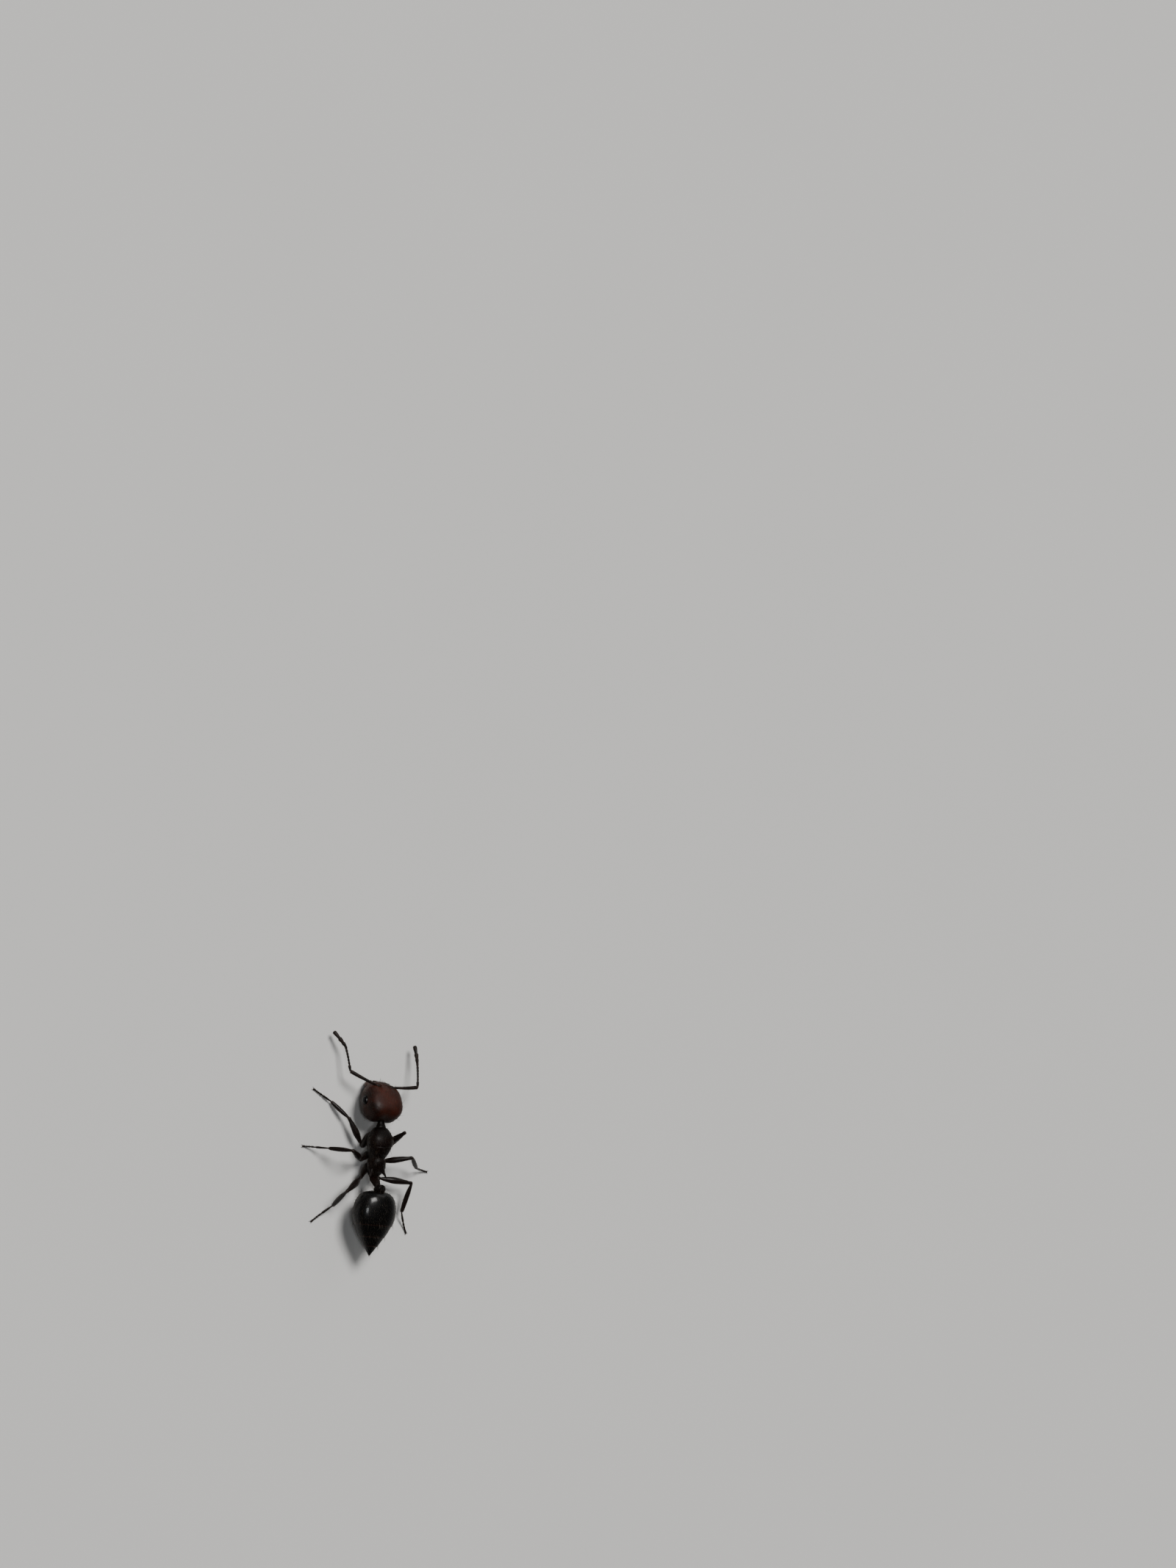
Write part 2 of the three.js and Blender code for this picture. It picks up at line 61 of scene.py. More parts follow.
# ---- driving sizes, in millimetres, as in the solids ----
HEAD = dict(length=1.17, width=1.18, top=0.43, bottom=0.4, pitch=28, squareness=3)
HEAD_CENTRE = np.array([0, 1.42, 0.67])
HEAD_TAPER = dict(front=0.15, rear=0.1, brow=0.38, chin=0.45)
HEAD_NOTCH = dict(depth=0.05, half_width=0.34)
EYE = dict(length=0.27, height=0.21, bulge=0.1, inset=0.035, above=0.07, turn=8)
MANDIBLE = dict(length=0.34, outer=0.4, inner=0.1, tip=0.03, thickness=0.13, droop=24)
TEETH = dict(count=4, depth=0.035, start=0.36)
SPINE = dict(length=0.24, spread=26, rise=24)
SPINE_ROOT = dict(out=0.2, y=-0.54, z=0.83)
PETIOLE = dict(width=0.31, depth=0.2)
PETIOLE_FOOT = np.array([0, -0.68, 0.63])
PETIOLE_HEAD = np.array([0, -0.95, 0.93])
POSTPETIOLE = dict(length=0.27, width=0.35, depth=0.29, tilt=-32)
POSTPETIOLE_CENTRE = np.array([0, -1.03, 1.06])
GROOVE = dict(depth=0.05, half_width=0.22)
GASTER = dict(length=1.89, width=1.31, top=0.41, bottom=0.58)
GASTER_FRONT = np.array([0, -1.08, 0.95])
GASTER_DROP = 0.1

# Where each coxa starts and ends, and the lengths of femur, tibia and tarsus.
LEGS = dict(
    fore=dict(coxa=(0.17, 0.45, 0.58), hip=(0.28, 0.12, 0.35), lengths=(0.95, 0.68, 0.64)),
    mid=dict(coxa=(0.15, -0.06, 0.54), hip=(0.28, -0.26, 0.36), lengths=(1.0, 0.7, 0.74)),
    hind=dict(coxa=(0.14, -0.4, 0.56), hip=(0.25, -0.72, 0.43), lengths=(1.12, 0.9, 0.74)),
)
# Each pair is the turn away from straight ahead and the rise, in degrees. A tarsus has only
# the turn, as it comes down to the floor.
STANCE = dict(
    fore_left=dict(femur=(35, 0), tibia=(50, -20), tarsus=62),
    mid_left=dict(femur=(71, 41), tibia=(90, -47), tarsus=91),
    hind_left=dict(femur=(119, 33), tibia=(188, -60), tarsus=134),
    fore_right=dict(femur=(38, 45), tibia=(204, -45), tarsus=55),
    mid_right=dict(femur=(76, 32), tibia=(122, -40), tarsus=97),
    hind_right=dict(femur=(93, 8), tibia=(184, -19), tarsus=147),
)
CLAW_HEIGHT = 0.03
# True half thicknesses. The solids are wider, to be strong enough to make.
COXA_RADIUS = dict(fore=0.125, mid=0.1, hind=0.105)
FEMUR_RADIUS = dict(fore=0.095, mid=0.09, hind=0.097)
TIBIA_RADIUS = dict(fore=0.064, mid=0.064, hind=0.07)
TARSUS_RADIUS = 0.032
SPUR_RADIUS = 0.011
CLAW_RADIUS = 0.0095

SOCKET = np.array([0.17, 0.36, 0.3])  # in the head's own frame
# Each row is a length, a turn away from straight ahead and a rise.
FEELERS = dict(
    left=dict(scape=(0.98, 69, -12), funiculus=(0.72, 14, -9), club=(0.54, 40, -21)),
    right=dict(scape=(0.98, 85, -3), funiculus=(0.72, 3, -16), club=(0.52, -5, -19)),
)
# Trunk stations from the neck to the rear: y, top, bottom and half width.
TRUNK = np.array([
    (0.98, 0.82, 0.69, 0.085), (0.9, 0.84, 0.685, 0.092), (0.76, 0.9, 0.65, 0.14),
    (0.62, 1.0, 0.56, 0.28), (0.45, 1.09, 0.49, 0.38), (0.3, 1.12, 0.45, 0.4),
    (0.12, 1.11, 0.43, 0.34), (-0.04, 1.05, 0.42, 0.27), (-0.15, 0.965, 0.43, 0.24),
    (-0.26, 0.985, 0.45, 0.26), (-0.4, 0.965, 0.47, 0.275), (-0.53, 0.89, 0.51, 0.245),
    (-0.66, 0.78, 0.54, 0.17), (-0.75, 0.7, 0.57, 0.09), (-0.78, 0.66, 0.6, 0.04),
])
# Gaster outline seen from above: share of the length, share of the half width.
GASTER_OUTLINE = [
    (0, 0.24), (0.03, 0.57), (0.08, 0.78), (0.16, 0.92), (0.29, 1), (0.44, 0.97),
    (0.61, 0.76), (0.79, 0.45), (0.92, 0.19), (1, 0.03),
]
GASTER_EDGES = (0, 0.52, 0.7, 0.84, 1)  # where each plate begins and ends
FACET = 0.16  # spacing of the eye's facets, on an eye of radius 1
BRISTLE = 0.1  # hair longer than this is a bristle
HAIR_PATCH = 0.003  # width of one hair on the OFBake map
FLOOR_HALF = 0.6  # metres
LAMP_DISTANCE = 2.0  # metres

# ---- colours and gloss ----
HEX = dict(
    head_red="#3f170c", head_dark="#160804", mandible="#431c0f", tooth="#120806",
    eye="#060506", antenna="#20110c", antenna_tip="#35201a", trunk="#080504",
    trunk_brown="#140a07", gaster="#040404", gaster_rim="#24150e", leg="#100a08",
    leg_pale="#281a13", membrane="#261d16", seta="#4b3e2d", floor="#d9d8d6",
    floor_mottle="#dddcda", backdrop="#b9b9b8",
)
ROOM_LIGHT = (0.86, 0.88, 0.9, 1)
CHITIN_IOR = 1.56


# ---- small tools ----
def smoothstep(x, low, high):
    """0 below low, 1 above high, and a smooth rise between them."""
    t = np.clip((x - low) / (high - low), 0, 1)
    return t * t * (3 - 2 * t)


def fade(x, low, high):
    """1 below low, 0 above high, and a smooth fall between them."""
    return 1 - smoothstep(x, low, high)


def bell(distance, width):
    """1 where the distance is 0, and next to nothing two widths away."""
    return np.exp(-((distance / width) ** 2))


def signed_power(x, power):
    return np.sign(x) * np.abs(x) ** power


def through(pairs, at):
    """A smooth curve through pairs of a place and a value, read at other places."""
    places, values = np.array(pairs, float).T
    at = np.clip(at, places[0], places[-1])
    i = np.clip(np.searchsorted(places, at, side="right") - 1, 0, len(places) - 2)
    slope = np.empty(len(places))
    slope[1:-1] = (values[2:] - values[:-2]) / (places[2:] - places[:-2])
    slope[0] = (values[1] - values[0]) / (places[1] - places[0])
    slope[-1] = (values[-1] - values[-2]) / (places[-1] - places[-2])
    step = places[i + 1] - places[i]
    t = (at - places[i]) / step
    start = values[i] * (1 + 2 * t) * (1 - t) ** 2 + slope[i] * step * t * (1 - t) ** 2
    return start + values[i + 1] * t**2 * (3 - 2 * t) - slope[i + 1] * step * t**2 * (1 - t)


def unit(vectors):
    vectors = np.asarray(vectors, float)
    return vectors / np.maximum(np.linalg.norm(vectors, axis=-1, keepdims=True), 1e-12)


def heading(side, turn, rise):
    """A unit vector turned from straight ahead towards one side (1 right, -1 left)."""
    turn, rise = math.radians(turn), math.radians(rise)
    flat = math.cos(rise)
    return np.array([side * math.sin(turn) * flat, math.cos(turn) * flat, math.sin(rise)])


def turned(points, axis, degrees):
    """Points turned about an axis through the zero point: X is right, Y ahead and Z up."""
    matrix = np.array(Matrix.Rotation(math.radians(degrees), 3, axis))
    return points @ matrix.T


def in_head(points):
    """From the head's own frame to the ant's."""
    return turned(np.asarray(points, float), "X", -HEAD["pitch"]) + HEAD_CENTRE


# ---- surfaces ----
class Surface:
    """Points, faces, an unwrap and a shade at each point, gathered from patches."""

    def __init__(self):
        self.points, self.faces, self.unwrap, self.shade = [], [], [], []
        self.size = 0

    def add(self, points, faces, unwrap, shade=0.0):
        self.points.append(np.asarray(points, float))
        self.faces.append(np.asarray(faces, int) + self.size)
        self.unwrap.append(unwrap)
        self.shade.append(np.broadcast_to(np.asarray(shade, float), (len(points),)))
        self.size += len(points)
        return self

    def take(self, other, move=lambda points: points):
        """Adds all of another surface, moved by a function."""
        self.faces += [face + self.size for face in other.faces]
        self.points += [move(points) for points in other.points]
        self.unwrap += other.unwrap
        self.shade += other.shade
        self.size += other.size
        return self

    def joined(self):
        widths = {face.shape[1] for face in self.faces if len(face)}
        by_width = [np.concatenate([f for f in self.faces if f.shape[1] == w]) for w in widths]
        return (np.concatenate(self.points), by_width,
                np.concatenate(self.unwrap), np.concatenate(self.shade))


def normals_of(points, faces):
    """Unit normals at the points of a mesh, from its faces."""
    normals = np.zeros_like(points)
    a, b, c = points[faces[:, 0]], points[faces[:, 1]], points[faces[:, 2]]
    around = np.cross(b - a, c - a)
    if faces.shape[1] == 4:
        around = around + np.cross(c - a, points[faces[:, 3]] - a)
    for corner in range(faces.shape[1]):
        np.add.at(normals, faces[:, corner], around)
    return unit(normals)


def circle(sides):
    """Cosines and sines of the points round a circle."""
    angle = np.arange(sides) / sides * math.tau
    return np.cos(angle), np.sin(angle)


def tube_faces(rings, sides):
    """Quads of a tube of so many rings, each with so many points."""
    i, j = np.meshgrid(np.arange(rings - 1), np.arange(sides), indexing="ij")
    i, j = i.ravel(), j.ravel()
    k = (j + 1) % sides
    return np.stack([i * sides + j, i * sides + k, (i + 1) * sides + k, (i + 1) * sides + j], 1)


def add_tube(surface, rings, shade=0.0, left=0.0, wide=1.0):
    """Adds a closed tube through rings (count, sides, 3), unwrapped into an upright strip."""
    count, sides = rings.shape[:2]
    u, v = np.meshgrid(np.arange(count) / (count - 1), np.arange(sides) / sides, indexing="ij")
    unwrap = np.stack([left + u * wide, v], -1).reshape(-1, 2)
    shades = np.broadcast_to(np.asarray(shade, float), (count,))
    surface.add(rings.reshape(-1, 3), tube_faces(count, sides), unwrap, np.repeat(shades, sides))
    start = surface.size - count * sides
    for ring, centre in ((0, rings[0].mean(0)), (count - 1, rings[-1].mean(0))):
        rim = np.arange(sides) + start + ring * sides
        hub = surface.size
        surface.add([centre], np.zeros((0, 3)), unwrap[[ring * sides]], shades[ring])
        fan = np.stack([rim, np.roll(rim, -1), np.full(sides, hub)], 1)
        surface.faces.append(fan if ring else fan[:, ::-1])
    return surface


def along_path(path, radii, sides, flat=1.0):
    """Rings of a tube along a path, flattened by flat in the direction nearest up."""
    ahead = unit(np.gradient(path, axis=0))
    across = unit(np.cross(ahead, (0, 0, 1)))
    lift = unit(np.cross(across, ahead))
    cos, sin = circle(sides)
    flat = np.broadcast_to(np.asarray(flat, float), (len(path),))[:, None, None]
    ring = across[:, None] * cos[:, None] + lift[:, None] * sin[:, None] * flat
    return path[:, None] + ring * radii[:, None, None]


def bowed(start, end, bow, count, towards=(0, 0, 1)):
    """A path from start to end that bows out by a share of its length."""
    t = np.linspace(0, 1, count)[:, None]
    length = np.linalg.norm(end - start)
    return start + (end - start) * t + np.asarray(towards) * bow * length * np.sin(math.pi * t)


def shaft(ends, bow, widths, count, sides, shade, towards=(0, 0, 1), flat=1.0):
    """A tube that bows out between two ends, in so many rings with so many sides.

    widths pairs a share of its length with the radius there, and shade is a function of
    that share.
    """
    t = np.linspace(0, 1, count)
    path = bowed(*ends, bow, count, towards)
    rings = along_path(path, through(widths, t), sides, flat)
    return add_tube(Surface(), rings, shade(t))


def ball(subdivisions):
    """Points on a unit ball and its triangles."""
    mesh = bmesh.new()
    bmesh.ops.create_icosphere(mesh, subdivisions=subdivisions, radius=1)
    points = np.array([v.co for v in mesh.verts], float)
    faces = np.array([[v.index for v in f.verts] for f in mesh.faces], int)
    mesh.free()
    return unit(points), faces


def ball_unwrap(points):
    """An unwrap of a ball round its long axis, from front to rear."""
    around = np.arctan2(points[:, 0], points[:, 2]) / math.tau + 0.5
    along = np.arccos(np.clip(points[:, 1], -1, 1)) / math.pi
    return np.stack([along, around], 1)


def new_object(name, data):
    """Puts a new object with this data into the scene."""
    thing = bpy.data.objects.new(name, data)
    bpy.context.scene.collection.objects.link(thing)
    return thing


made = {}  # each finished piece by its name


def piece(name, surface, material, nodes=(), unwrap_name="Unwrap"):
    """Turns a surface into a Blender mesh that rides on the body."""
    points, groups, unwrap, shade = surface.joined()
    mesh = bpy.data.meshes.new(name)
    corners = np.concatenate([g.ravel() for g in groups])
    totals = np.concatenate([np.full(len(g), g.shape[1]) for g in groups])
    mesh.vertices.add(len(points))
    mesh.vertices.foreach_set("co", (points * FRAME_TURN + FRAME_ZERO).astype(np.float32).ravel())
    mesh.loops.add(len(corners))
    mesh.loops.foreach_set("vertex_index", corners.astype(np.int32))
    mesh.polygons.add(len(totals))
    mesh.polygons.foreach_set("loop_start", (np.cumsum(totals) - totals).astype(np.int32))
    mesh.polygons.foreach_set("loop_total", totals.astype(np.int32))
    mesh.update(calc_edges=True)
    mesh.validate()
    layer = mesh.uv_layers.new(name=unwrap_name)
    layer.data.foreach_set("uv", unwrap[corners].astype(np.float32).ravel())
    attribute = mesh.attributes.new("shade", "FLOAT", "POINT")
    attribute.data.foreach_set("value", shade.astype(np.float32))
    work = bmesh.new()
    work.from_mesh(mesh)
    bmesh.ops.recalc_face_normals(work, faces=work.faces)
    if work.calc_volume(signed=True) < 0:
        bmesh.ops.reverse_faces(work, faces=work.faces)
    work.to_mesh(mesh)
    work.free()
    mesh.polygons.foreach_set("use_smooth", np.ones(len(mesh.polygons), bool))
    mesh.materials.append(material)
    thing = new_object(name, mesh)
    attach(thing, "root")
    if nodes:
        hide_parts(*nodes)
    made[name] = thing


# ---- materials ----
def colour(name):
    """One of the sRGB hex colours as linear light."""
    shares = [int(HEX[name][i:i + 2], 16) / 255 for i in (1, 3, 5)]
    linear = [c / 12.92 if c <= 0.04045 else ((c + 0.055) / 1.055) ** 2.4 for c in shares]
    return (*linear, 1.0)


def add(tree, kind, settings=None, links=None):
    """Adds one node, with its settings and the links into it.

    A link comes from a node, which stands for its first output, or from an output itself.
    """
    node = tree.nodes.new(kind)
    for name, value in (settings or {}).items():
        if isinstance(name, int) or name in node.inputs:
            node.inputs[name].default_value = value
        else:
            setattr(node, name, value)
    for name, source in (links or {}).items():
        output = source.outputs[0] if isinstance(source, bpy.types.Node) else source
        tree.links.new(output, node.inputs[name])
    return node


def new_material(name):
    material = bpy.data.materials.new(name)
    material.use_nodes = True
    material.node_tree.nodes.clear()
    return material


def millimetres(tree, stretch=(1, 1, 1)):
    """The place on the ant in millimetres, stretched for a pattern that runs one way."""
    place = add(tree, "ShaderNodeTexCoord")
    scale = tuple(k / MM for k in stretch)
    return add(tree, "ShaderNodeMapping", {"Scale": scale}, {"Vector": place.outputs["Object"]})


def cuticle(name, dark, light, edge, roughness, cell, relief, coat, specular,
            stretch=(1, 1, 1), clouds=2.0, coat_roughness=0.12, coat_ior=1.5):
    """Insect cuticle: sclerotised chitin under a thin layer of wax.

    cell is the width of one cell of its fine sculpture and relief its depth, both in
    millimetres. The colour drifts in soft clouds, and turns to edge where shade is 1, which on the
    head is painted shade.
    """
    material = new_material(name)
    tree = material.node_tree
    plain, drawn = millimetres(tree), millimetres(tree, stretch)
    drift = add(tree, "ShaderNodeTexNoise", {"Scale": clouds, "Detail": 4.0, "Roughness": 0.6},
                {"Vector": plain})
    spread = add(tree, "ShaderNodeMapRange", {"From Min": 0.35, "From Max": 0.68}, {"Value": drift})
    body = add(tree, "ShaderNodeMixRGB", {"Color1": colour(dark), "Color2": colour(light)},
               {"Fac": spread})
    shade = add(tree, "ShaderNodeAttribute", {"attribute_name": "shade"})
    tint = add(tree, "ShaderNodeMixRGB", {"Color2": colour(edge)},
               {"Color1": body, "Fac": shade.outputs["Fac"]})
    cells = add(tree, "ShaderNodeTexVoronoi", {"feature": "DISTANCE_TO_EDGE", "Scale": 1 / cell},
                {"Vector": drawn})
    flat_cells = add(tree, "ShaderNodeMapRange", {"From Max": 0.22}, {"Value": cells})
    grain = add(tree, "ShaderNodeTexNoise", {"Scale": 0.6 / cell, "Detail": 3.0}, {"Vector": drawn})
    heights = add(tree, "ShaderNodeMath", {"operation": "MULTIPLY_ADD", 1: 0.6},
                  {0: flat_cells, 2: grain})
    bump = add(tree, "ShaderNodeBump", {"Strength": 1.0, "Distance": relief * MM}, {"Height": heights})
    wear = add(tree, "ShaderNodeMapRange", {"From Min": 0.3, "From Max": 0.7,
                                            "To Min": roughness * 0.85, "To Max": roughness * 1.2},
               {"Value": grain})
    shader = add(tree, "ShaderNodeBsdfPrincipled",
                 {"IOR": CHITIN_IOR, "Specular IOR Level": specular, "Coat Weight": coat,
                  "Coat Roughness": coat_roughness, "Coat IOR": coat_ior},
                 {"Base Color": tint, "Roughness": wear, "Normal": bump})
    add(tree, "ShaderNodeOutputMaterial", links={"Surface": shader})
    return material


def head_cuticle():
    """Red-brown cuticle, smooth and waxy: a soft sheen over a dark wine-brown body."""
    # Its colour turns to head_dark where the head's shade is high: painted shade at the front, rear,
    # sides and underside.
    return cuticle("Red_brown_cuticle", "head_dark", "head_red", "head_dark", roughness=0.47,
                   cell=0.016, relief=0.0005, coat=0.02, specular=0.16, clouds=1.6)


def mandible_cuticle():
    """Thick cuticle drawn into fine lengthwise ridges, so its gloss breaks into streaks."""
    return cuticle("Ridged_mandible_cuticle", "head_dark", "mandible", "tooth", roughness=0.32,
                   cell=0.014, relief=0.0008, coat=0.04, specular=0.17, clouds=5,
                   stretch=(1, 0.3, 0.3))


def eye_cornea():
    """Clear cornea over black pigment: each facet catches its own small light."""
    return cuticle("Compound_eye_cornea", "eye", "eye", "eye", roughness=0.22, cell=0.02,
                   relief=0.00002, coat=0.03, specular=0.15)


def antenna_cuticle():
    """Thin brown cuticle without a gloss, dulled by a nap of very fine hairs."""
    return cuticle("Downy_antenna_cuticle", "trunk", "antenna", "antenna_tip", roughness=0.45,
                   cell=0.012, relief=0.0007, coat=0, specular=0.18, clouds=6)


def trunk_cuticle():
    """Near-black cuticle with fine lengthwise wrinkles that leave only a broken gloss."""
    return cuticle("Wrinkled_black_cuticle", "trunk", "trunk_brown", "trunk", roughness=0.38,
                   cell=0.02, relief=0.0015, coat=0.01, specular=0.08, clouds=2.2,
                   stretch=(1, 0.22, 1))


def gaster_cuticle():
    """Black cuticle with a faint net under clear wax: bright highlights with soft edges.

    The wax has the high index of cuticle full of melanin. The cuticle below it is dull, so
    that the flanks mirror less of the floor where they are seen at a slant.
    """
    return cuticle("Polished_black_cuticle", "gaster", "gaster", "gaster_rim", roughness=0.44,
                   cell=0.014, relief=0.0004, coat=0.26, specular=0.07, stretch=(1, 0.6, 1),
                   coat_roughness=0.18, coat_ior=1.7)


def leg_cuticle():
    """Dark brown leg cuticle, waxy on the thick joints and paler at the thin ends."""
    return cuticle("Brown_black_leg_cuticle", "leg", "trunk_brown", "leg_pale", roughness=0.36,
                   cell=0.013, relief=0.0006, coat=0.03, specular=0.15, clouds=5)


def two_toned(name, first, second, noise, finish):
    """A smooth material whose colour drifts between two tones."""
    material = new_material(name)
    tree = material.node_tree
    drift = add(tree, "ShaderNodeTexNoise", noise, {"Vector": millimetres(tree)})
    tone = add(tree, "ShaderNodeMixRGB", {"Color1": colour(first), "Color2": colour(second)},
               {"Fac": drift})
    shader = add(tree, "ShaderNodeBsdfPrincipled", finish, {"Base Color": tone})
    add(tree, "ShaderNodeOutputMaterial", links={"Surface": shader})
    return material


def seta_chitin():
    """Bristles of yellow-brown chitin: thin, springy and faintly shiny, like fishing line.

    Real ones let light through. These are solid and so a darker brown, or they would
    whiten the black body.
    """
    return two_toned("Pale_seta_chitin", "membrane", "seta", {"Scale": 9.0},
                     {"IOR": CHITIN_IOR, "Roughness": 0.4})


def matt_board():
    """Matt painted board: a pale floor with a barely seen mottle and no shine."""
    return two_toned("Matt_painted_board", "floor", "floor_mottle",
                     {"Scale": 0.12, "Detail": 5.0}, {"Roughness": 0.9, "Specular IOR Level": 0.2})


HEAD_CUTICLE = head_cuticle()
MANDIBLE_CUTICLE = mandible_cuticle()
EYE_CORNEA = eye_cornea()
ANTENNA_CUTICLE = antenna_cuticle()
TRUNK_CUTICLE = trunk_cuticle()
GASTER_CUTICLE = gaster_cuticle()
LEG_CUTICLE = leg_cuticle()
SETA_CHITIN = seta_chitin()


# ---- head ----
def head_form(points):
    """The plain shape of the head capsule: a ball squared off, tapered and notched."""
    power = HEAD["squareness"]
    q = points / ((np.abs(points) ** power).sum(1) ** (1 / power))[:, None]
    widest = -0.25
    ahead = np.maximum(0, (q[:, 1] - widest) / (1 - widest))
    behind = np.maximum(0, (widest - q[:, 1]) / (1 + widest))
    front = np.maximum(0, q[:, 1])
    taper = 1 - HEAD_TAPER["front"] * ahead**2 - HEAD_TAPER["rear"] * behind**2
    above = HEAD["top"] * (1 - HEAD_TAPER["brow"] * front**2)
    below = HEAD["bottom"] * (1 - HEAD_TAPER["chin"] * front**2)
    x = q[:, 0] * HEAD["width"] * taper / 2
    across = np.maximum(0, 1 - (x / HEAD_NOTCH["half_width"]) ** 2) ** 2
    notch = HEAD_NOTCH["depth"] * np.where(q[:, 1] < 0, across, 0) * q[:, 1] ** 2
    z = q[:, 2] * np.where(q[:, 2] > 0, above, below)
    return np.stack([x, q[:, 1] * HEAD["length"] / 2 + notch, z], 1)


def clypeus(side, y, face):
    """The shield above the mouth: its rear edge runs forward from the middle to the sides."""
    rear = 0.385 + 0.13 * np.clip(side / 0.3, 0, 1) ** 1.6
    shield = smoothstep(y, rear - 0.012, rear + 0.02) * fade(side, 0.27, 0.33)
    seam = bell(y - rear + 0.012, 0.012) * fade(side, 0.27, 0.33)
    crown = bell(side, 0.2) * smoothstep(y, rear, rear + 0.1)
    return face * (0.012 * shield - 0.01 * seam + 0.024 * crown), face * shield


def frontal_lobes(side, y, face):
    """Two low flanges that run back from beside the feeler sockets."""
    line = 0.108 + 0.22 * np.clip(0.4 - y, 0, 0.3)
    reach = smoothstep(y, 0.12, 0.3) * fade(y, 0.4, 0.44)
    return face * 0.022 * bell(side - line, 0.032) * reach


def feeler_sockets(side, y, face):
    """Round pits with a fine rim, each inside a shallow hollow that the scape folds into."""
    distance = np.hypot(side - SOCKET[0] - 0.012, (y - SOCKET[1]) * 0.9)
    hollow = np.hypot((side - 0.27) / 0.1, (y - 0.28) / 0.12)
    pit = -0.045 * fade(distance, 0.03, 0.066) + 0.007 * bell(distance - 0.078, 0.016)
    return face * (pit - 0.014 * bell(hollow, 1))


def eye_ring(side, y, z):
    """The groove and low rim in which an eye is set."""
    away = np.hypot(y / (EYE["length"] / 2), (z - EYE["above"]) / (EYE["height"] / 2))
    near = smoothstep(side, 0.4, 0.5)
    return near * (0.006 * bell(away - 1.24, 0.1) - 0.012 * bell(away - 1.04, 0.08))


def head_relief(points):
    """How far the cuticle stands out in millimetres at points of the head, and its shade: painted
    shade towards the front, rear, sides and underside.
    """
    side, y, z = np.abs(points[:, 0]), points[:, 1], points[:, 2]
    face, under = smoothstep(z, 0.03, 0.12), smoothstep(-z, 0.03, 0.12)
    shield, on_shield = clypeus(side, y, face)
    middle = face * bell(side, 0.008) * smoothstep(y, -0.32, -0.2) * fade(y, 0.2, 0.3)
    throat = under * bell(side, 0.01) * smoothstep(y, -0.45, -0.3) * fade(y, 0.1, 0.2)
    mouth = under * fade(side, 0.13, 0.19) * smoothstep(y, 0.16, 0.22)
    cheek = bell(np.hypot(side - 0.36, (y - 0.5) * 1.4), 0.09) * smoothstep(side, 0.28, 0.34)
    relief = (shield + frontal_lobes(side, y, face) + feeler_sockets(side, y, face)
              + eye_ring(side, y, z) - 0.003 * middle - 0.008 * throat - 0.05 * mouth
              + 0.01 * cheek)
    # Painted shade darkens the head towards its front, rear, sides and underside. The clypeus is a
    # touch darker too.
    dark = (0.55 * smoothstep(y, 0.36, 0.56) + 0.4 * smoothstep(-y, 0.3, 0.58)
            + 0.5 * under + 0.35 * smoothstep(side, 0.42, 0.6) + 0.15 * on_shield)
    return relief, np.clip(dark, 0, 1)


def head_capsule():
    points, faces = ball(7)
    form = head_form(points)
    # shade here is painted shade on the head's front, rear, sides and underside
    relief, shade = head_relief(form)
    form = form + normals_of(form, faces) * relief[:, None]
    surface = Surface().add(in_head(form), faces, ball_unwrap(points), shade)
    piece("head_capsule", surface, HEAD_CUTICLE, ["head"])


def mandible(name):
    """A curved triangular blade, ridged lengthwise, that thins towards its toothed edge."""
    length, root, tip = MANDIBLE["length"], -0.06, MANDIBLE["tip"]
    t = np.linspace(0, 0.998, 130)[:, None]
    outer = (1 - t**2) * MANDIBLE["outer"] + t**2 * tip
    y = (1 - t) ** 2 * root + 2 * t * (1 - t) * 0.75 * length + t**2 * length
    first = TEETH["start"] * length
    inner = tip + (MANDIBLE["inner"] - tip) * np.clip((first - y) / (first - root), 0, 1)
    cos, sin = circle(96)
    share = (1 - cos) / 2  # 0 at the outer edge and 1 at the toothed one
    x = outer + (np.minimum(inner, outer - 0.001) - outer) * share
    tooth = np.clip((y - first) / (length - first), 0, 1) * (TEETH["count"] - 1)
    notch = TEETH["depth"] * np.abs(np.sin(math.pi * tooth)) ** 0.7 * (1 - 0.3 * t)
    x = x + np.minimum(notch, (outer - x) * 0.8) * smoothstep(share, 0.62, 0.98)
    thick = MANDIBLE["thickness"] / 2 * (1 - 0.6 * t**2) * np.sqrt(1 - np.abs(2 * share - 1) ** 2.2)
    ridges = 0.002 * np.cos(share * math.tau * 8) * smoothstep(thick, 0.015, 0.04)
    ridges = ridges * fade(share, 0.68, 0.85)
    z = np.sign(sin) * (thick * (1.05 - 0.55 * share) + ridges)
    z = z + 0.03 * share - 0.04 * (y / length) ** 2
    rings = np.stack(np.broadcast_arrays(SIDES[name] * x, y, z), -1)
    rings = turned(rings.reshape(-1, 3), "X", -MANDIBLE["droop"])
    rings = rings + (0, HEAD["length"] / 2 - 0.06, -HEAD["bottom"] / 4)
    surface = add_tube(Surface(), in_head(rings).reshape(*x.shape, 3))
    dark = smoothstep(share, 0.7, 1) * smoothstep(t, 0.3, 0.6) + smoothstep(t, 0.6, 1)
    surface.shade[0] = np.clip(dark, 0, 1).ravel()
    piece("mandible_blade_" + name, surface, MANDIBLE_CUTICLE, ["mandible_" + name])


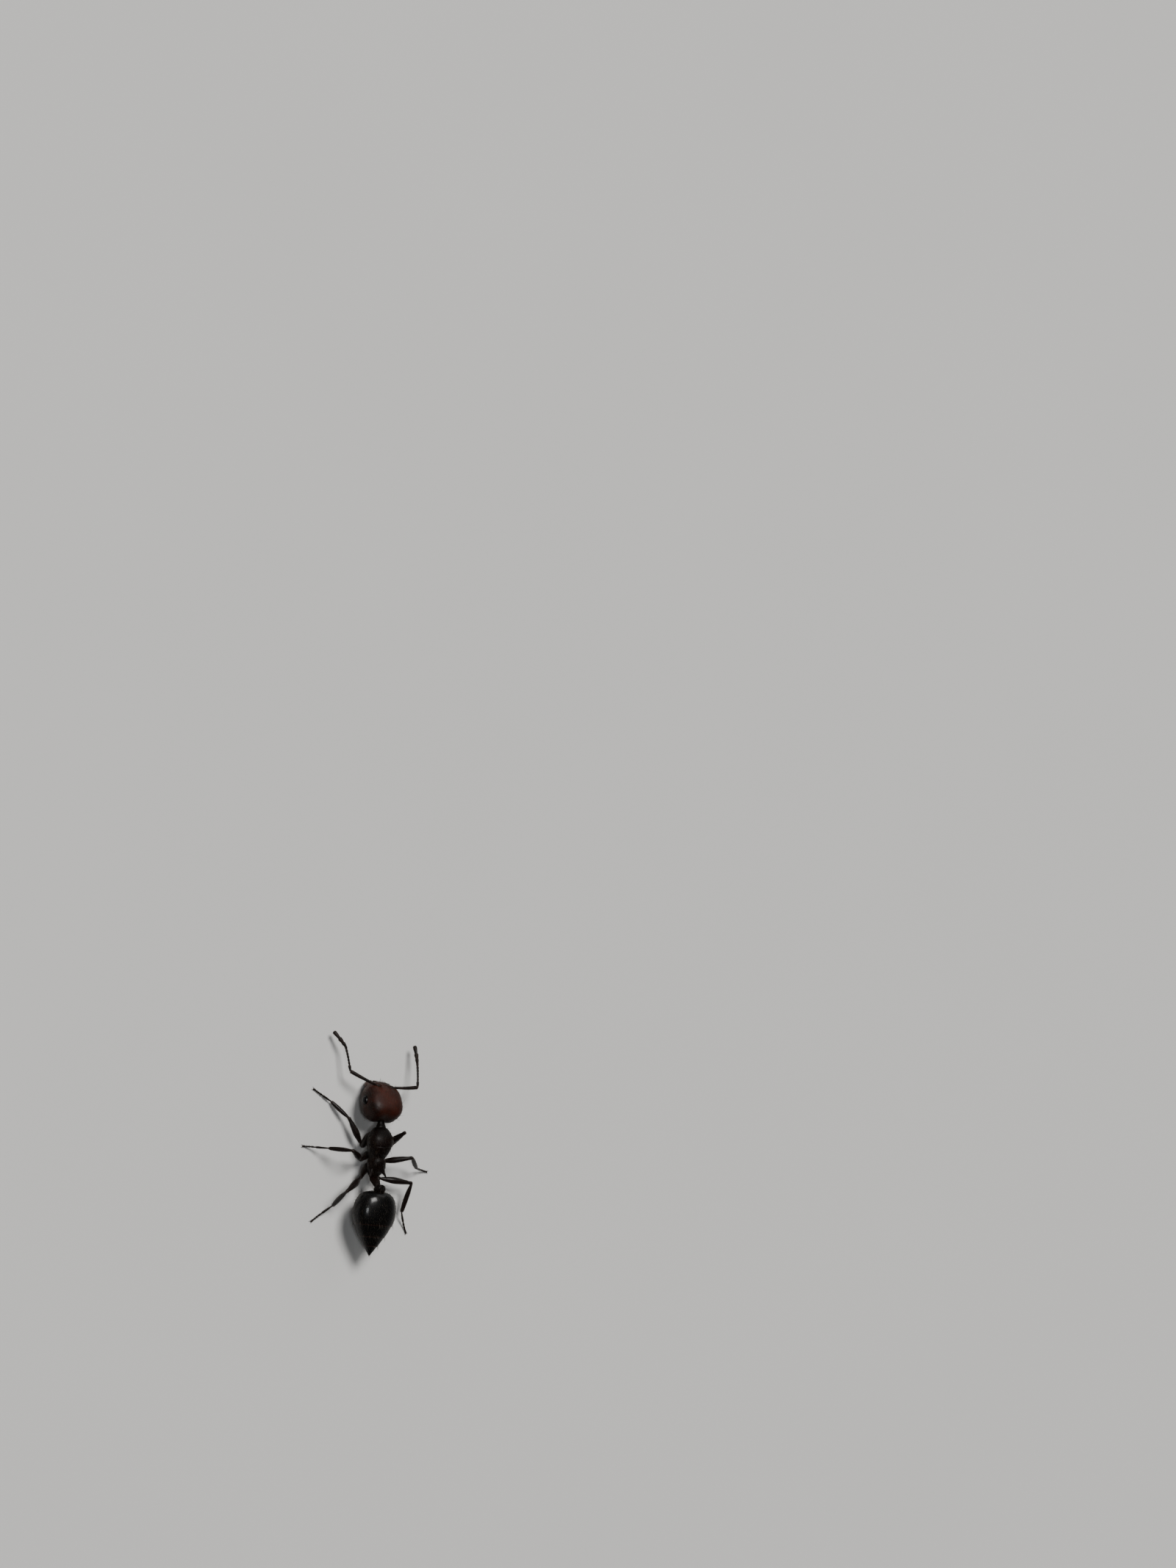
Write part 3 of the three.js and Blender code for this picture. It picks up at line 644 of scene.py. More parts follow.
def from_facet_middle(points):
    """How far points of a unit ball lie from the middle of the nearest six-sided facet.

    The two halves of the ball are laid flat from their poles at +x and -x, true in area.
    """
    outward = np.sqrt(2 * (1 - np.abs(points[:, :1])))
    flat = outward * points[:, 1:] / np.maximum(np.hypot(points[:, 1], points[:, 2]), 1e-9)[:, None]
    row = FACET * np.array([1, math.sqrt(3)])
    near = [flat - row * np.round(flat / row - offset) - row * offset for offset in (0, 0.5)]
    return np.minimum(*(np.linalg.norm(gap, axis=1) for gap in near))


def compound_eye(name):
    """An oval eye of small domed six-sided facets, about 0.02 mm wide."""
    side = SIDES[name]
    points, faces = ball(6)
    corner = FACET / math.sqrt(3)
    dome = 0.003 * (1 - (from_facet_middle(points) / corner) ** 2)
    size = np.array([EYE["bulge"], EYE["length"] / 2, EYE["height"] / 2])
    form = points * (size + dome[:, None])
    form = turned(form, "Z", side * EYE["turn"])
    form = form + (side * (HEAD["width"] / 2 - EYE["inset"]), 0, EYE["above"])
    surface = Surface().add(in_head(form), faces, ball_unwrap(points))
    piece("compound_eye_" + name, surface, EYE_CORNEA, ["eye_" + name])


# ---- feelers ----
def jointed(path, length_shares, radii, neck=0.72, flare=1.0, rings=14, sides=18):
    """A row of segments along a path, each narrow at its start and widest near its end."""
    surface = Surface()
    step = 1 / (len(path) - 1)
    place = np.linspace(-step, 1 + step, len(path) + 2)
    path = np.concatenate([[2 * path[0] - path[1]], path, [2 * path[-1] - path[-2]]])
    ends = np.concatenate([[0], np.cumsum(length_shares)]) / sum(length_shares)
    for i, radius in enumerate(radii):
        t = (1 - np.cos(np.linspace(0, math.pi, rings))) / 2
        swell = neck + (flare - neck) * smoothstep(t, 0, 0.7)
        rounding = np.sqrt(np.clip(1 - np.clip((t - 0.86) / 0.14, 0, 1) ** 2, 0.01, 1))
        at = ends[i] + (ends[i + 1] - ends[i]) * (t * 1.02 - 0.01)
        line = np.stack([np.interp(at, place, path[:, k]) for k in range(3)], 1)
        add_tube(surface, along_path(line, radius * swell * rounding, sides),
                 smoothstep(t, 0.9, 1) * 0.6, ends[i], (ends[i + 1] - ends[i]) * 0.98)
    return surface


def feeler_joints(name):
    """Where a feeler is jointed, from its socket to its tip."""
    joints = [in_head(SOCKET * (SIDES[name], 1, 1))]
    for length, turn, rise in FEELERS[name].values():
        joints.append(joints[-1] + heading(SIDES[name], turn, rise) * length)
    return joints


def scape(name, root, elbow):
    """The long first segment: a ball in the socket, a thin neck, then a slender shaft."""
    widths = [(0, 0.012), (0.03, 0.04), (0.07, 0.04), (0.1, 0.022), (0.2, 0.034), (0.5, 0.043),
              (0.8, 0.053), (0.94, 0.054), (0.985, 0.046), (1, 0.012)]
    surface = shaft((root, elbow), 0.035, widths, 60, 24, lambda t: 0.5 * smoothstep(t, 0.93, 1),
                    towards=(0, -0.6, 0.8))
    piece("scape_" + name, surface, ANTENNA_CUTICLE, [f"antenna_{name}_scape"])


def feeler(name):
    root, elbow, club_start, tip = feeler_joints(name)
    scape(name, root, elbow)
    line = bowed(elbow, club_start, 0.03, 40)
    whip = jointed(line, [1.7, 0.85, 0.8, 0.8, 0.85, 0.9, 0.95],
                   [0.041, 0.033, 0.033, 0.034, 0.036, 0.038, 0.041])
    piece("funiculus_" + name, whip, ANTENNA_CUTICLE, [f"antenna_{name}_funiculus"])
    line = bowed(club_start, tip, 0.03, 40)
    club = jointed(line, [0.26, 0.3, 0.44], [0.05, 0.058, 0.056], neck=0.76, flare=1.03)
    piece("club_" + name, club, ANTENNA_CUTICLE, [f"antenna_{name}_club"])


def mouthparts():
    """The tongue plate under the head and the thin jointed palps beside it."""
    t = np.linspace(0, 1, 24)
    line = np.stack([0 * t, 0.16 + 0.36 * t, -0.345 + 0.17 * t**1.5], 1)
    width = 0.115 * np.sqrt(np.clip(1 - (2 * t - 1) ** 4, 0.002, 1)) * (1 - 0.25 * t)
    tongue = add_tube(Surface(), along_path(line, width, 24, flat=0.45))
    surface = Surface().take(tongue, in_head)
    for side in SIDES.values():
        for out, length in ((0.05, 0.2), (0.12, 0.32)):
            start = np.array([side * out, 0.44, -0.26])
            end = start + np.array([side * 0.04, -0.78, -0.63]) * length
            line = bowed(start, end, 0.1, 30, towards=(side * 0.5, -0.5, -0.7))
            palp = jointed(line, [1, 1, 1, 1.1], [0.013, 0.012, 0.011, 0.01], 0.6, rings=9, sides=10)
            surface.take(palp, in_head)
    piece("mouthparts", surface, MANDIBLE_CUTICLE)


def head():
    head_capsule()
    for name in SIDES:
        mandible(name)
        compound_eye(name)
        feeler(name)
    mouthparts()


# ---- trunk ----
def trunk_rings(count, sides):
    y = np.linspace(TRUNK[0, 0], TRUNK[-1, 0], count)
    top, bottom, wide = (through(TRUNK[:, [0, k]] * (-1, 1), -y)[:, None] for k in (1, 2, 3))
    middle = bottom + (top - bottom) * 0.55
    up, out = circle(sides)
    rise = signed_power(up, 0.92) * np.where(up > 0, top - middle, middle - bottom)
    x = signed_power(out, 0.9) * wide * np.where(up < 0, 1 + 0.2 * up, 1)
    return np.stack(np.broadcast_arrays(x, y[:, None], middle + rise), -1)


def trunk_relief(points):
    """Sutures, grooves and swellings of the trunk, and where its colour turns darker, towards the
    neck.
    """
    x, y, z = points[:, 0], points[:, 1], points[:, 2]
    side = np.abs(x)
    back, flank = smoothstep(z, 0.84, 0.94), smoothstep(side, 0.12, 0.2)
    front_suture = 0.17 + 0.26 * smoothstep(-z, -0.98, -0.5)
    rear_suture = -0.15 - 0.05 * smoothstep(-z, -0.95, -0.6)
    oblique = (y - 0.01) * 0.514 - (z - 0.69) * 0.857
    along_oblique = np.abs((y - 0.01) * 0.857 + (z - 0.69) * 0.514)
    spiracle = np.hypot(y + 0.42, z - 0.8)
    gland = np.hypot((y + 0.56) / 0.08, (z - 0.6) / 0.05)
    relief = (
        -0.009 * bell(y - front_suture, 0.015) * smoothstep(z, 0.5, 0.6)
        - 0.017 * bell(y - rear_suture, 0.02) * smoothstep(z, 0.5, 0.65)
        + 0.004 * np.cos(x * math.tau / 0.036) * bell(y - rear_suture, 0.03) * back  # ridges in it
        + 0.009 * bell(x, 0.012) * bell(y, 0.09) * back  # a keel ahead of it
        - 0.010 * bell(oblique, 0.013) * fade(along_oblique, 0.14, 0.2) * flank
        # the seam low on the flank
        - 0.009 * bell(y + 0.24 - 0.25 * (0.7 - z), 0.012) * smoothstep(-z, -0.76, -0.68) * flank
        + flank * (0.012 * bell(spiracle - 0.024, 0.009) - 0.012 * bell(spiracle, 0.013))
        + 0.018 * bell(gland, 1) * flank
        + 0.02 * bell(np.hypot(y / 0.14, (z - 0.56) / 0.1), 1) * flank  # plate above the mid leg
        # the hollow between the spines, the swellings at their roots and the neck's groove
        - 0.022 * bell(x, 0.1) * smoothstep(-y, 0.52, 0.62) * smoothstep(z, 0.68, 0.78)
        + 0.02 * bell(np.hypot(side - 0.18, y + 0.52), 0.06) * smoothstep(z, 0.75, 0.86)
        - 0.014 * bell(y - 0.73, 0.018)
    )
    return relief, 0.9 * smoothstep(y, 0.25, 0.75)


def spine(side):
    """A short sharp spine that flares into the trunk at its root."""
    aim = heading(side, 180 - SPINE["spread"], SPINE["rise"])
    root = np.array([side * SPINE_ROOT["out"], SPINE_ROOT["y"], SPINE_ROOT["z"]])
    t = np.linspace(0, 1, 40)[:, None]
    rise = np.array([0, 0, 0.012]) * np.sin(math.pi * t)
    line = root + aim * SPINE["length"] * (1.25 * t - 0.25) + rise
    widths = [(0, 0.085), (0.15, 0.066), (0.3, 0.045), (0.6, 0.026), (0.9, 0.01), (1, 0.003)]
    return along_path(line, through(widths, t[:, 0]), 24)


def trunk():
    rings = trunk_rings(260, 190)
    flat = rings.reshape(-1, 3)
    normals = normals_of(flat, tube_faces(*rings.shape[:2]))
    outward = np.sign((normals * (rings - rings.mean(1, keepdims=True)).reshape(-1, 3)).sum())
    relief, shade = trunk_relief(flat)
    surface = add_tube(Surface(), (flat + normals * outward * relief[:, None]).reshape(rings.shape))
    surface.shade[0] = shade
    for side in SIDES.values():
        add_tube(surface, spine(side))
    nodes = ["pronotum", "mesonotum", "propodeum", "propodeal_spine_left", "propodeal_spine_right"]
    piece("trunk_shell", surface, TRUNK_CUTICLE, nodes)


# ---- waist ----
def petiole():
    """The first waist joint: flat and wide in front on top, with a thin foot and head."""
    aim = unit(PETIOLE_HEAD - PETIOLE_FOOT)
    t = np.linspace(0, 1, 90)
    start, end = PETIOLE_FOOT - aim * 0.1, PETIOLE_HEAD + aim * 0.04
    line = bowed(start, end, 0.05, 90, towards=(0, -0.7, 0.7))
    wide, high = PETIOLE["width"] / 2, PETIOLE["depth"] / 2
    widths = [(0, 0.05), (0.1, 0.062), (0.22, 0.12), (0.38, wide), (0.55, 0.92 * wide),
              (0.8, 0.7 * wide), (0.95, 0.075), (1, 0.05)]
    depths = [(0, 0.05), (0.1, 0.06), (0.22, 0.08), (0.45, high), (0.8, 0.085), (1, 0.05)]
    radii = through(widths, t)
    rings = along_path(line, radii, 60, flat=through(depths, t) / radii)
    out, top = rings - line[:, None], unit(np.cross((1, 0, 0), aim))
    flatten = smoothstep(out @ top, 0.02, 0.09) * bell(t - 0.5, 0.3)[:, None]
    rings = rings - flatten[..., None] * 0.022 * top
    groove = bell(t - 0.14, 0.02)[:, None] + bell(t - 0.93, 0.02)[:, None]
    rings = rings - out * 0.12 * groove[..., None]
    surface = add_tube(Surface(), rings, shade=0.25 * bell(t - 0.14, 0.05))
    piece("petiole_shell", surface, TRUNK_CUTICLE, ["petiole"])


def postpetiole():
    """The second waist joint: two low domes side by side, and the ring that holds the gaster."""
    points, faces = ball(6)
    size = np.array([POSTPETIOLE["width"], POSTPETIOLE["length"], POSTPETIOLE["depth"]]) / 2
    lobes = 0.02 * bell(np.abs(points[:, 0]) - 0.55, 0.4) * np.clip(points[:, 2], 0, 1)
    cut = GROOVE["depth"] * bell(points[:, 0], GROOVE["half_width"]) * np.clip(points[:, 2], 0, 1)
    form = points * size + np.stack([0 * cut, 0 * cut, lobes - cut], 1)
    form = turned(form, "X", POSTPETIOLE["tilt"]) + POSTPETIOLE_CENTRE
    surface = Surface().add(form, faces, ball_unwrap(points))
    socket = GASTER_FRONT + (0, -0.12, 0.14)
    line = bowed(POSTPETIOLE_CENTRE + (0, -0.02, -0.02), socket, 0.03, 30)
    radii = 0.085 + 0.012 * np.cos(np.linspace(0, 3 * math.tau, 30))
    add_tube(surface, along_path(line, radii, 30), shade=0.5)
    piece("postpetiole_shell", surface, TRUNK_CUTICLE, ["postpetiole"])


# ---- gaster ----
def gaster_rings(shares, scales, insets, sides):
    """Rings of the gaster at shares of its length, drawn in by scales and insets."""
    outline = through(GASTER_OUTLINE, shares)[:, None]
    up, out = circle(sides)
    share, inset, scale = shares[:, None], insets[:, None], scales[:, None]
    height = np.where(up > 0, GASTER["top"] * outline**0.85, GASTER["bottom"] * outline)
    belly = smoothstep(-up, 0.26, 0.3)  # the belly plates tuck under the back plates
    inset = inset + 0.009 * belly - 0.004 * bell(up + 0.24, 0.02)
    wide = np.maximum(GASTER["width"] / 2 * outline - inset, 0.004) * scale
    high = np.maximum(height - inset, 0.004) * scale
    z = up * high - GASTER_DROP * share
    return np.stack(np.broadcast_arrays(out * wide, -GASTER["length"] * share, z), -1) + GASTER_FRONT


def gaster_plate(i):
    """One ring of plates: it slips under the rim of the one before and ends in a thin rim."""
    start, end = GASTER_EDGES[i], GASTER_EDGES[i + 1]
    sink = 0.011 * i  # each plate lies a little further in
    rows = 150 if i == 0 else 46
    if i == 0:  # its front is a flat cap
        cap = np.sin(np.linspace(0.02, math.pi / 2, 16))
        shares = np.concatenate([np.full(16, 0.0), (np.linspace(0, 1, rows)[1:] ** 1.25) * end])
        scales = np.concatenate([cap, np.ones(rows - 1)])
        insets = np.zeros(len(shares))
    else:
        shares = np.linspace(start - 0.03, end, rows)
        scales, insets = np.ones(rows), np.full(rows, sink)
    if end < 1:  # the rim turns in and runs back under the plate
        lip = np.array([0.0016, 0.0022, 0.0016, -0.002, -0.012, -0.03])
        shares = np.concatenate([shares, end + lip])
        scales = np.concatenate([scales, np.ones(6)])
        insets = np.concatenate([insets, sink + np.array([0.002, 0.006, 0.011, 0.015, 0.02, 0.03])])
    rings = gaster_rings(shares, scales, insets, 180)
    if i == 0:  # the hollow in which the waist is hung
        near = np.linalg.norm(rings - (GASTER_FRONT + (0, 0.03, 0.12)), axis=-1)
        rings = rings - np.array([0, 0.04, 0.02]) * bell(near, 0.14)[..., None]
    rim = smoothstep(shares, end - 0.02, end - 0.004) if end < 1 else smoothstep(shares, 0.93, 1)
    surface = add_tube(Surface(), rings, 0.8 * rim)
    piece(f"gaster_plate_{i + 1}", surface, GASTER_CUTICLE, [f"gaster_{i + 1}"])


# ---- legs ----
def leg_joints(pair, name):
    """Where a leg is jointed, from the trunk to the claws."""
    side, sizes, stance = SIDES[name], LEGS[pair], STANCE[f"{pair}_{name}"]
    mirror = np.array([side, 1, 1])
    top, hip = np.array(sizes["coxa"]) * mirror, np.array(sizes["hip"]) * mirror
    knee = hip + heading(side, *stance["femur"]) * sizes["lengths"][0]
    ankle = knee + heading(side, *stance["tibia"]) * sizes["lengths"][1]
    drop = -math.degrees(math.asin((ankle[2] - CLAW_HEIGHT) / sizes["lengths"][2]))
    claws = ankle + heading(side, stance["tarsus"], drop) * sizes["lengths"][2]
    return top, hip, knee, ankle, claws


def tarsus_path(ankle, claws, count):
    """A curve that leaves the ankle steeply and flattens towards the floor."""
    bend = ankle + (claws - ankle) * 0.55
    bend[2] = ankle[2] + (claws[2] - ankle[2]) * 0.8
    t = np.linspace(0, 1, count)[:, None]
    return (1 - t) ** 2 * ankle + 2 * t * (1 - t) * bend + t**2 * claws


def coxa(pair, top, hip):
    """A short thick cone, bent a little, that hangs the leg from the trunk."""
    radius = COXA_RADIUS[pair]
    widths = [(0, 0.7 * radius), (0.2, radius), (0.5, 0.95 * radius), (0.8, 0.66 * radius),
              (0.93, 0.5 * radius), (1, 0.02)]
    ends = top + (top - hip) * 0.2, hip + unit(hip - top) * 0.02
    return shaft(ends, 0.07, widths, 40, 32, lambda t: 0.5 * smoothstep(t, 0.85, 0.97),
                 towards=(np.sign(top[0]), 0, 0))


def femur(pair, hip, knee):
    """The small trochanter, then the thigh: thickest before its middle, with a round knee."""
    radius, aim = FEMUR_RADIUS[pair], unit(knee - hip)
    widths = [(0, 0.02), (0.15, 0.047), (0.5, 0.055), (0.85, 0.044), (1, 0.02)]
    trochanter = shaft((hip - aim * 0.015, hip + aim * 0.135), 0.02, widths, 30, 28,
                       lambda t: 0.4 * smoothstep(t, 0.8, 1))
    widths = [(0, 0.022), (0.04, 0.042), (0.14, 0.064), (0.38, radius), (0.65, 0.82 * radius),
              (0.88, 0.052), (0.95, 0.054), (0.985, 0.043), (1, 0.012)]
    thigh = shaft((hip + aim * 0.11, knee + aim * 0.02), 0.025, widths, 70, 32,
                  lambda t: 0.35 * bell(t, 0.06) + 0.45 * smoothstep(t, 0.9, 1), flat=0.92)
    return trochanter.take(thigh)


def spur(start, aim, length, bend):
    """A curved spine at the end of a tibia."""
    t = np.linspace(0, 1, 16)[:, None]
    line = start + aim * length * t + bend * length * t**2
    return along_path(line, SPUR_RADIUS * (1 - t[:, 0]) ** 0.7 + 0.0015, 10)


def tibia(pair, knee, ankle, claws):
    """The shin: a thin bent neck at the knee, thickest past its middle, spurred at the end."""
    radius, aim = TIBIA_RADIUS[pair], unit(ankle - knee)
    widths = [(0, 0.015), (0.02, 0.034), (0.06, 0.036), (0.1, 0.04), (0.3, 0.9 * radius),
              (0.6, radius), (0.88, 0.84 * radius), (0.96, 0.7 * radius), (0.99, 0.5 * radius),
              (1, 0.015)]
    surface = shaft((knee - aim * 0.012, ankle + aim * 0.012), -0.02, widths, 64, 30,
                    lambda t: 0.5 * bell(t, 0.07) + 0.5 * smoothstep(t, 0.8, 1))
    foot = unit(claws - ankle)
    under = unit(aim - foot * 0.2)
    length, lean = (0.15, 0.5) if pair == "fore" else (0.085, 0.25)  # the fore spur cleans feelers
    rings = spur(ankle - aim * 0.03, unit(under + foot * 0.4), length, foot * lean - under * 0.3)
    return add_tube(surface, rings, shade=0.8)


def claw(tip, ahead, across, hand):
    """One curved claw that comes down to the floor."""
    t = np.linspace(0, 1, 18)[:, None]
    line = (tip - ahead * 0.012 + ahead * 0.075 * t + across * hand * (0.008 + 0.034 * t**0.8)
            + np.array([0, 0, 1]) * (0.014 * np.sin(math.pi * t) - 0.023 * t**1.5))
    return along_path(line, CLAW_RADIUS * (1 - t[:, 0]) ** 0.75 + 0.0015, 10)


def tarsus(ankle, claws):
    """Five joints, the first as long as the rest together, two claws and the pad between."""
    line = tarsus_path(ankle, claws, 80)
    radii = TARSUS_RADIUS * np.array([0.98, 0.9, 0.88, 0.86, 0.86])
    surface = jointed(line, [0.47, 0.17, 0.12, 0.09, 0.15], radii, neck=0.62, rings=20)
    ahead = unit((claws - ankle) * (1, 1, 0))
    across = unit(np.cross(ahead, (0, 0, 1)))
    for hand in (-1, 1):
        add_tube(surface, claw(claws, ahead, across, hand), shade=0.2)
    t = np.linspace(0, 1, 14)
    pad = claws - ahead * 0.01 + ahead * 0.05 * t[:, None] - np.array([0, 0, 1]) * 0.009 * t[:, None]
    puff = 0.017 * np.sqrt(np.clip(1 - (2 * t - 1) ** 2, 0.01, 1))
    return add_tube(surface, along_path(pad, puff, 14, flat=0.7), shade=1.0)


def leg(pair, name):
    """The four parts of one leg, from the trunk to the claws."""
    top, hip, knee, ankle, claws = leg_joints(pair, name)
    parts = dict(
        coxa=coxa(pair, top, hip), femur=femur(pair, hip, knee),
        tibia=tibia(pair, knee, ankle, claws), tarsus=tarsus(ankle, claws),
    )
    for part, surface in parts.items():
        node = f"{pair}_{name}_{part}"
        piece(node + "_shell", surface, LEG_CUTICLE, [node])


# ---- down and bristles ----
def read(items, key, width, kind=np.float32):
    """One property of a mesh's items, as rows of so many numbers."""
    values = np.empty(len(items) * width, kind)
    items.foreach_get(key, values)
    return values.reshape(-1, width)


def roots(thing, spacing, tile, mask=None):
    """Places about one spacing apart on a piece: points, normals and places in its tile."""
    mesh = thing.data
    mesh.calc_loop_triangles()
    points = (read(mesh.vertices, "co", 3).astype(float) - FRAME_ZERO) / FRAME_TURN
    corners = read(mesh.loop_triangles, "vertices", 3, np.int32)
    loops = read(mesh.loop_triangles, "loops", 3, np.int32)
    places = read(mesh.uv_layers["Unwrap"].data, "uv", 2)[loops]
    a, b, c = (points[corners[:, k]] for k in range(3))
    around = np.cross(b - a, c - a)
    area = np.linalg.norm(around, axis=1) / 2
    tries = int(6 * area.sum() / spacing**2)  # enough to fill nearly every cell of the grid
    chosen = rng.choice(len(area), tries, p=area / area.sum())
    share = rng.random((tries, 2))
    share = np.where(share.sum(1, keepdims=True) > 1, 1 - share, share)
    weights = np.column_stack([1 - share.sum(1), share])[..., None]
    spots = (points[corners[chosen]] * weights).sum(1)
    keep = np.unique(np.floor(spots / spacing).astype(int), axis=0, return_index=True)[1]
    if mask is not None:
        keep = keep[rng.random(len(keep)) < mask(spots[keep])]
    left, low, size = tile
    on_map = (left, low) + (places[chosen] * weights).sum(1)[keep] * size
    return spots[keep], unit(around[chosen[keep]]), on_map


def hairs(surface, places, lie, length, rise, radius):
    """Adds tapered three-sided hairs that rise by some degrees and curl the way they lie."""
    curl, steps = (0.4, 5) if length > BRISTLE else (0.75, 3)
    spots, normals, unwrap = places
    count = len(spots)
    along = (lie(spots) if callable(lie) else np.asarray(lie)) + rng.normal(0, 0.15, (count, 3))
    flat = unit(along - normals * (along * normals).sum(1, keepdims=True))
    step = length / steps * rng.uniform(0.75, 1.2, (count, 1))
    line = [spots - normals * radius]
    for k in range(steps):
        angle = math.radians(rise) * (1 - curl * k / (steps - 1))
        line.append(line[-1] + (flat * math.cos(angle) + normals * math.sin(angle)) * step)
    line = np.stack(line, 1)
    line[..., 2] = np.maximum(line[..., 2], 0.003)  # hair under a foot bends along the floor
    side = np.cross(normals, flat)
    lift = np.cross(unit(line[:, -1] - line[:, 0]), side)
    taper = radius * (1 - 0.9 * np.linspace(0, 1, steps + 1) ** 1.6)
    cos, sin = circle(3)
    ring = side[:, None, None] * cos[:, None] + lift[:, None, None] * sin[:, None]
    points = line[:, :, None] + ring * taper[:, None, None]
    each = 3 * (steps + 1)
    first = (np.arange(count) * each)[:, None, None]
    quads = (tube_faces(steps + 1, 3) + first).reshape(-1, 4)
    patch = np.meshgrid(np.linspace(0, 1, steps + 1), np.linspace(0, 1, 3), indexing="ij")
    patch = HAIR_PATCH * np.stack(patch, -1)
    spread = (unwrap[:, None, None] + patch).reshape(-1, 2)
    start = surface.size
    surface.add(points.reshape(-1, 3), quads, spread)
    caps = np.array([[0, 2, 1], [each - 3, each - 2, each - 1]])
    surface.faces.append((caps + first + start).reshape(-1, 3))


def combed(inward, ahead, up=0.0):
    """The lie of hair that runs towards the body's middle line, ahead and up by these shares."""
    def lie(spots):
        level = np.ones(len(spots))
        return np.column_stack([-inward * np.sign(spots[:, 0]), ahead * level, up * level])
    return lie


REARWARDS = combed(0.3, -1.0)
FACEWARDS = combed(0.4, 0.9, -0.45)  # down over the face


def coat(name, slot, kinds):
    """One coat piece. Each kind of hair has a skin, a spacing, a lie, a length, a rise in
    degrees, a radius and, where it grows only in places, a mask.

    Every skin has a tile of the OFBake map to itself.
    """
    skins = list(dict.fromkeys(kind[0] for kind in kinds))
    across = math.ceil(math.sqrt(len(skins)))
    surface = Surface()
    for skin, spacing, lie, length, rise, radius, *mask in kinds:
        row, column = divmod(skins.index(skin), across)
        places = roots(made[skin], spacing, (column / across, row / across, 0.98 / across), *mask)
        hairs(surface, places, lie, length, rise, radius)
    piece(name, surface, SETA_CHITIN, unwrap_name="OFBake")


def head_hair():
    """Short down that lies flat, and a few long bristles on the brow and round the mouth."""
    eyes = [in_head([side * HEAD["width"] / 2, 0, EYE["above"]]) for side in SIDES.values()]

    def off_eyes(spots):
        near = np.minimum(*(np.linalg.norm(spots - eye, axis=1) for eye in eyes))
        return (near > 0.2) & (spots[:, 1] > HEAD_CENTRE[1] - 0.5)

    def brow(spots):
        return 0.7 * off_eyes(spots) * (spots[:, 2] > 0.6)

    def mouth(spots):
        return (spots[:, 1] > 1.8) & (spots[:, 2] < 0.5)

    kinds = [
        ("head_capsule", 0.05, FACEWARDS, 0.055, 24, 0.002, off_eyes),
        ("head_capsule", 0.2, FACEWARDS, 0.15, 68, 0.0036, brow),
        ("head_capsule", 0.07, (0, 1, -0.6), 0.13, 50, 0.003, mouth),
    ]
    for name in SIDES:
        kinds.append(("mandible_blade_" + name, 0.05, (0, 1, -1), 0.06, 38, 0.0026))
    coat("head_hair", "head", kinds)


def trunk_hair():
    """Thin down that lies back, and bristles on the shoulders, the back and the waist."""
    def back(spots):
        return (spots[:, 2] > 0.86) & (np.abs(spots[:, 0]) > 0.1)

    kinds = [("trunk_shell", 0.055, REARWARDS, 0.06, 24, 0.0019),
             ("trunk_shell", 0.17, REARWARDS, 0.14, 66, 0.0034, back)]
    for skin in ("petiole_shell", "postpetiole_shell"):
        kinds.append((skin, 0.05, REARWARDS, 0.05, 26, 0.0018))
        kinds.append((skin, 0.16, REARWARDS, 0.12, 62, 0.0032))
    coat("trunk_hair", "trunk", kinds)


def gaster_hair():
    """Flat down all over, and a row of long bristles along the rim of each plate."""
    kinds = []
    for i in range(4):
        front, rim = (GASTER_FRONT[1] - GASTER["length"] * GASTER_EDGES[k] for k in (i, i + 1))

        def open_part(spots, front=front, rim=rim):
            return (spots[:, 1] > rim + 0.03) & (spots[:, 1] < front)

        def near_rim(spots, rim=rim):
            return 0.8 * (np.abs(spots[:, 1] - rim - 0.05) < 0.035)

        skin = f"gaster_plate_{i + 1}"
        kinds.append((skin, 0.06, REARWARDS, 0.06, 18, 0.0018, open_part))
        kinds.append((skin, 0.085, REARWARDS, 0.15, 42, 0.0032, near_rim))
    kinds.append(("gaster_plate_1", 0.26, REARWARDS, 0.14, 55, 0.0032))
    coat("gaster_hair", "gaster", kinds)


def limb_hair(joints, parts, skin, radius):
    """Kinds of hair for a limb's parts in turn, each combed towards the part's far end."""
    for start, end, (part, (spacing, length, rise)) in zip(joints, joints[1:], parts.items()):
        yield skin.format(part), spacing, unit(end - start), length, rise, radius


def leg_hair():
    """Fine hair slanting towards the claws, steepest on the feet."""
    parts = dict(coxa=(0.055, 0.05, 24), femur=(0.05, 0.05, 24), tibia=(0.042, 0.046, 28),
                 tarsus=(0.026, 0.034, 34))
    kinds = []
    for pair in LEGS:
        for name in SIDES:
            kinds += limb_hair(leg_joints(pair, name), parts, f"{pair}_{name}_{{}}_shell", 0.0019)
    coat("leg_hair", "leg", kinds)


def feeler_hair():
    """A dense nap of the finest hair, all slanting towards the tips."""
    parts = dict(scape=(0.036, 0.038, 28), funiculus=(0.026, 0.028, 34), club=(0.022, 0.025, 36))
    kinds = []
    for name in SIDES:
        kinds += limb_hair(feeler_joints(name), parts, "{}_" + name, 0.0018)
    coat("feeler_hair", "antenna", kinds)


# ---- floor, light and camera ----
def floor():
    mesh = bpy.data.meshes.new("floor")
    corners = [(FLOOR_HALF * x, FLOOR_HALF * y, 0) for x, y in ((-1, -1), (1, -1), (1, 1), (-1, 1))]
    mesh.from_pydata(corners, [], [(0, 1, 2, 3)])
    mesh.materials.append(matt_board())
    new_object("floor", mesh)


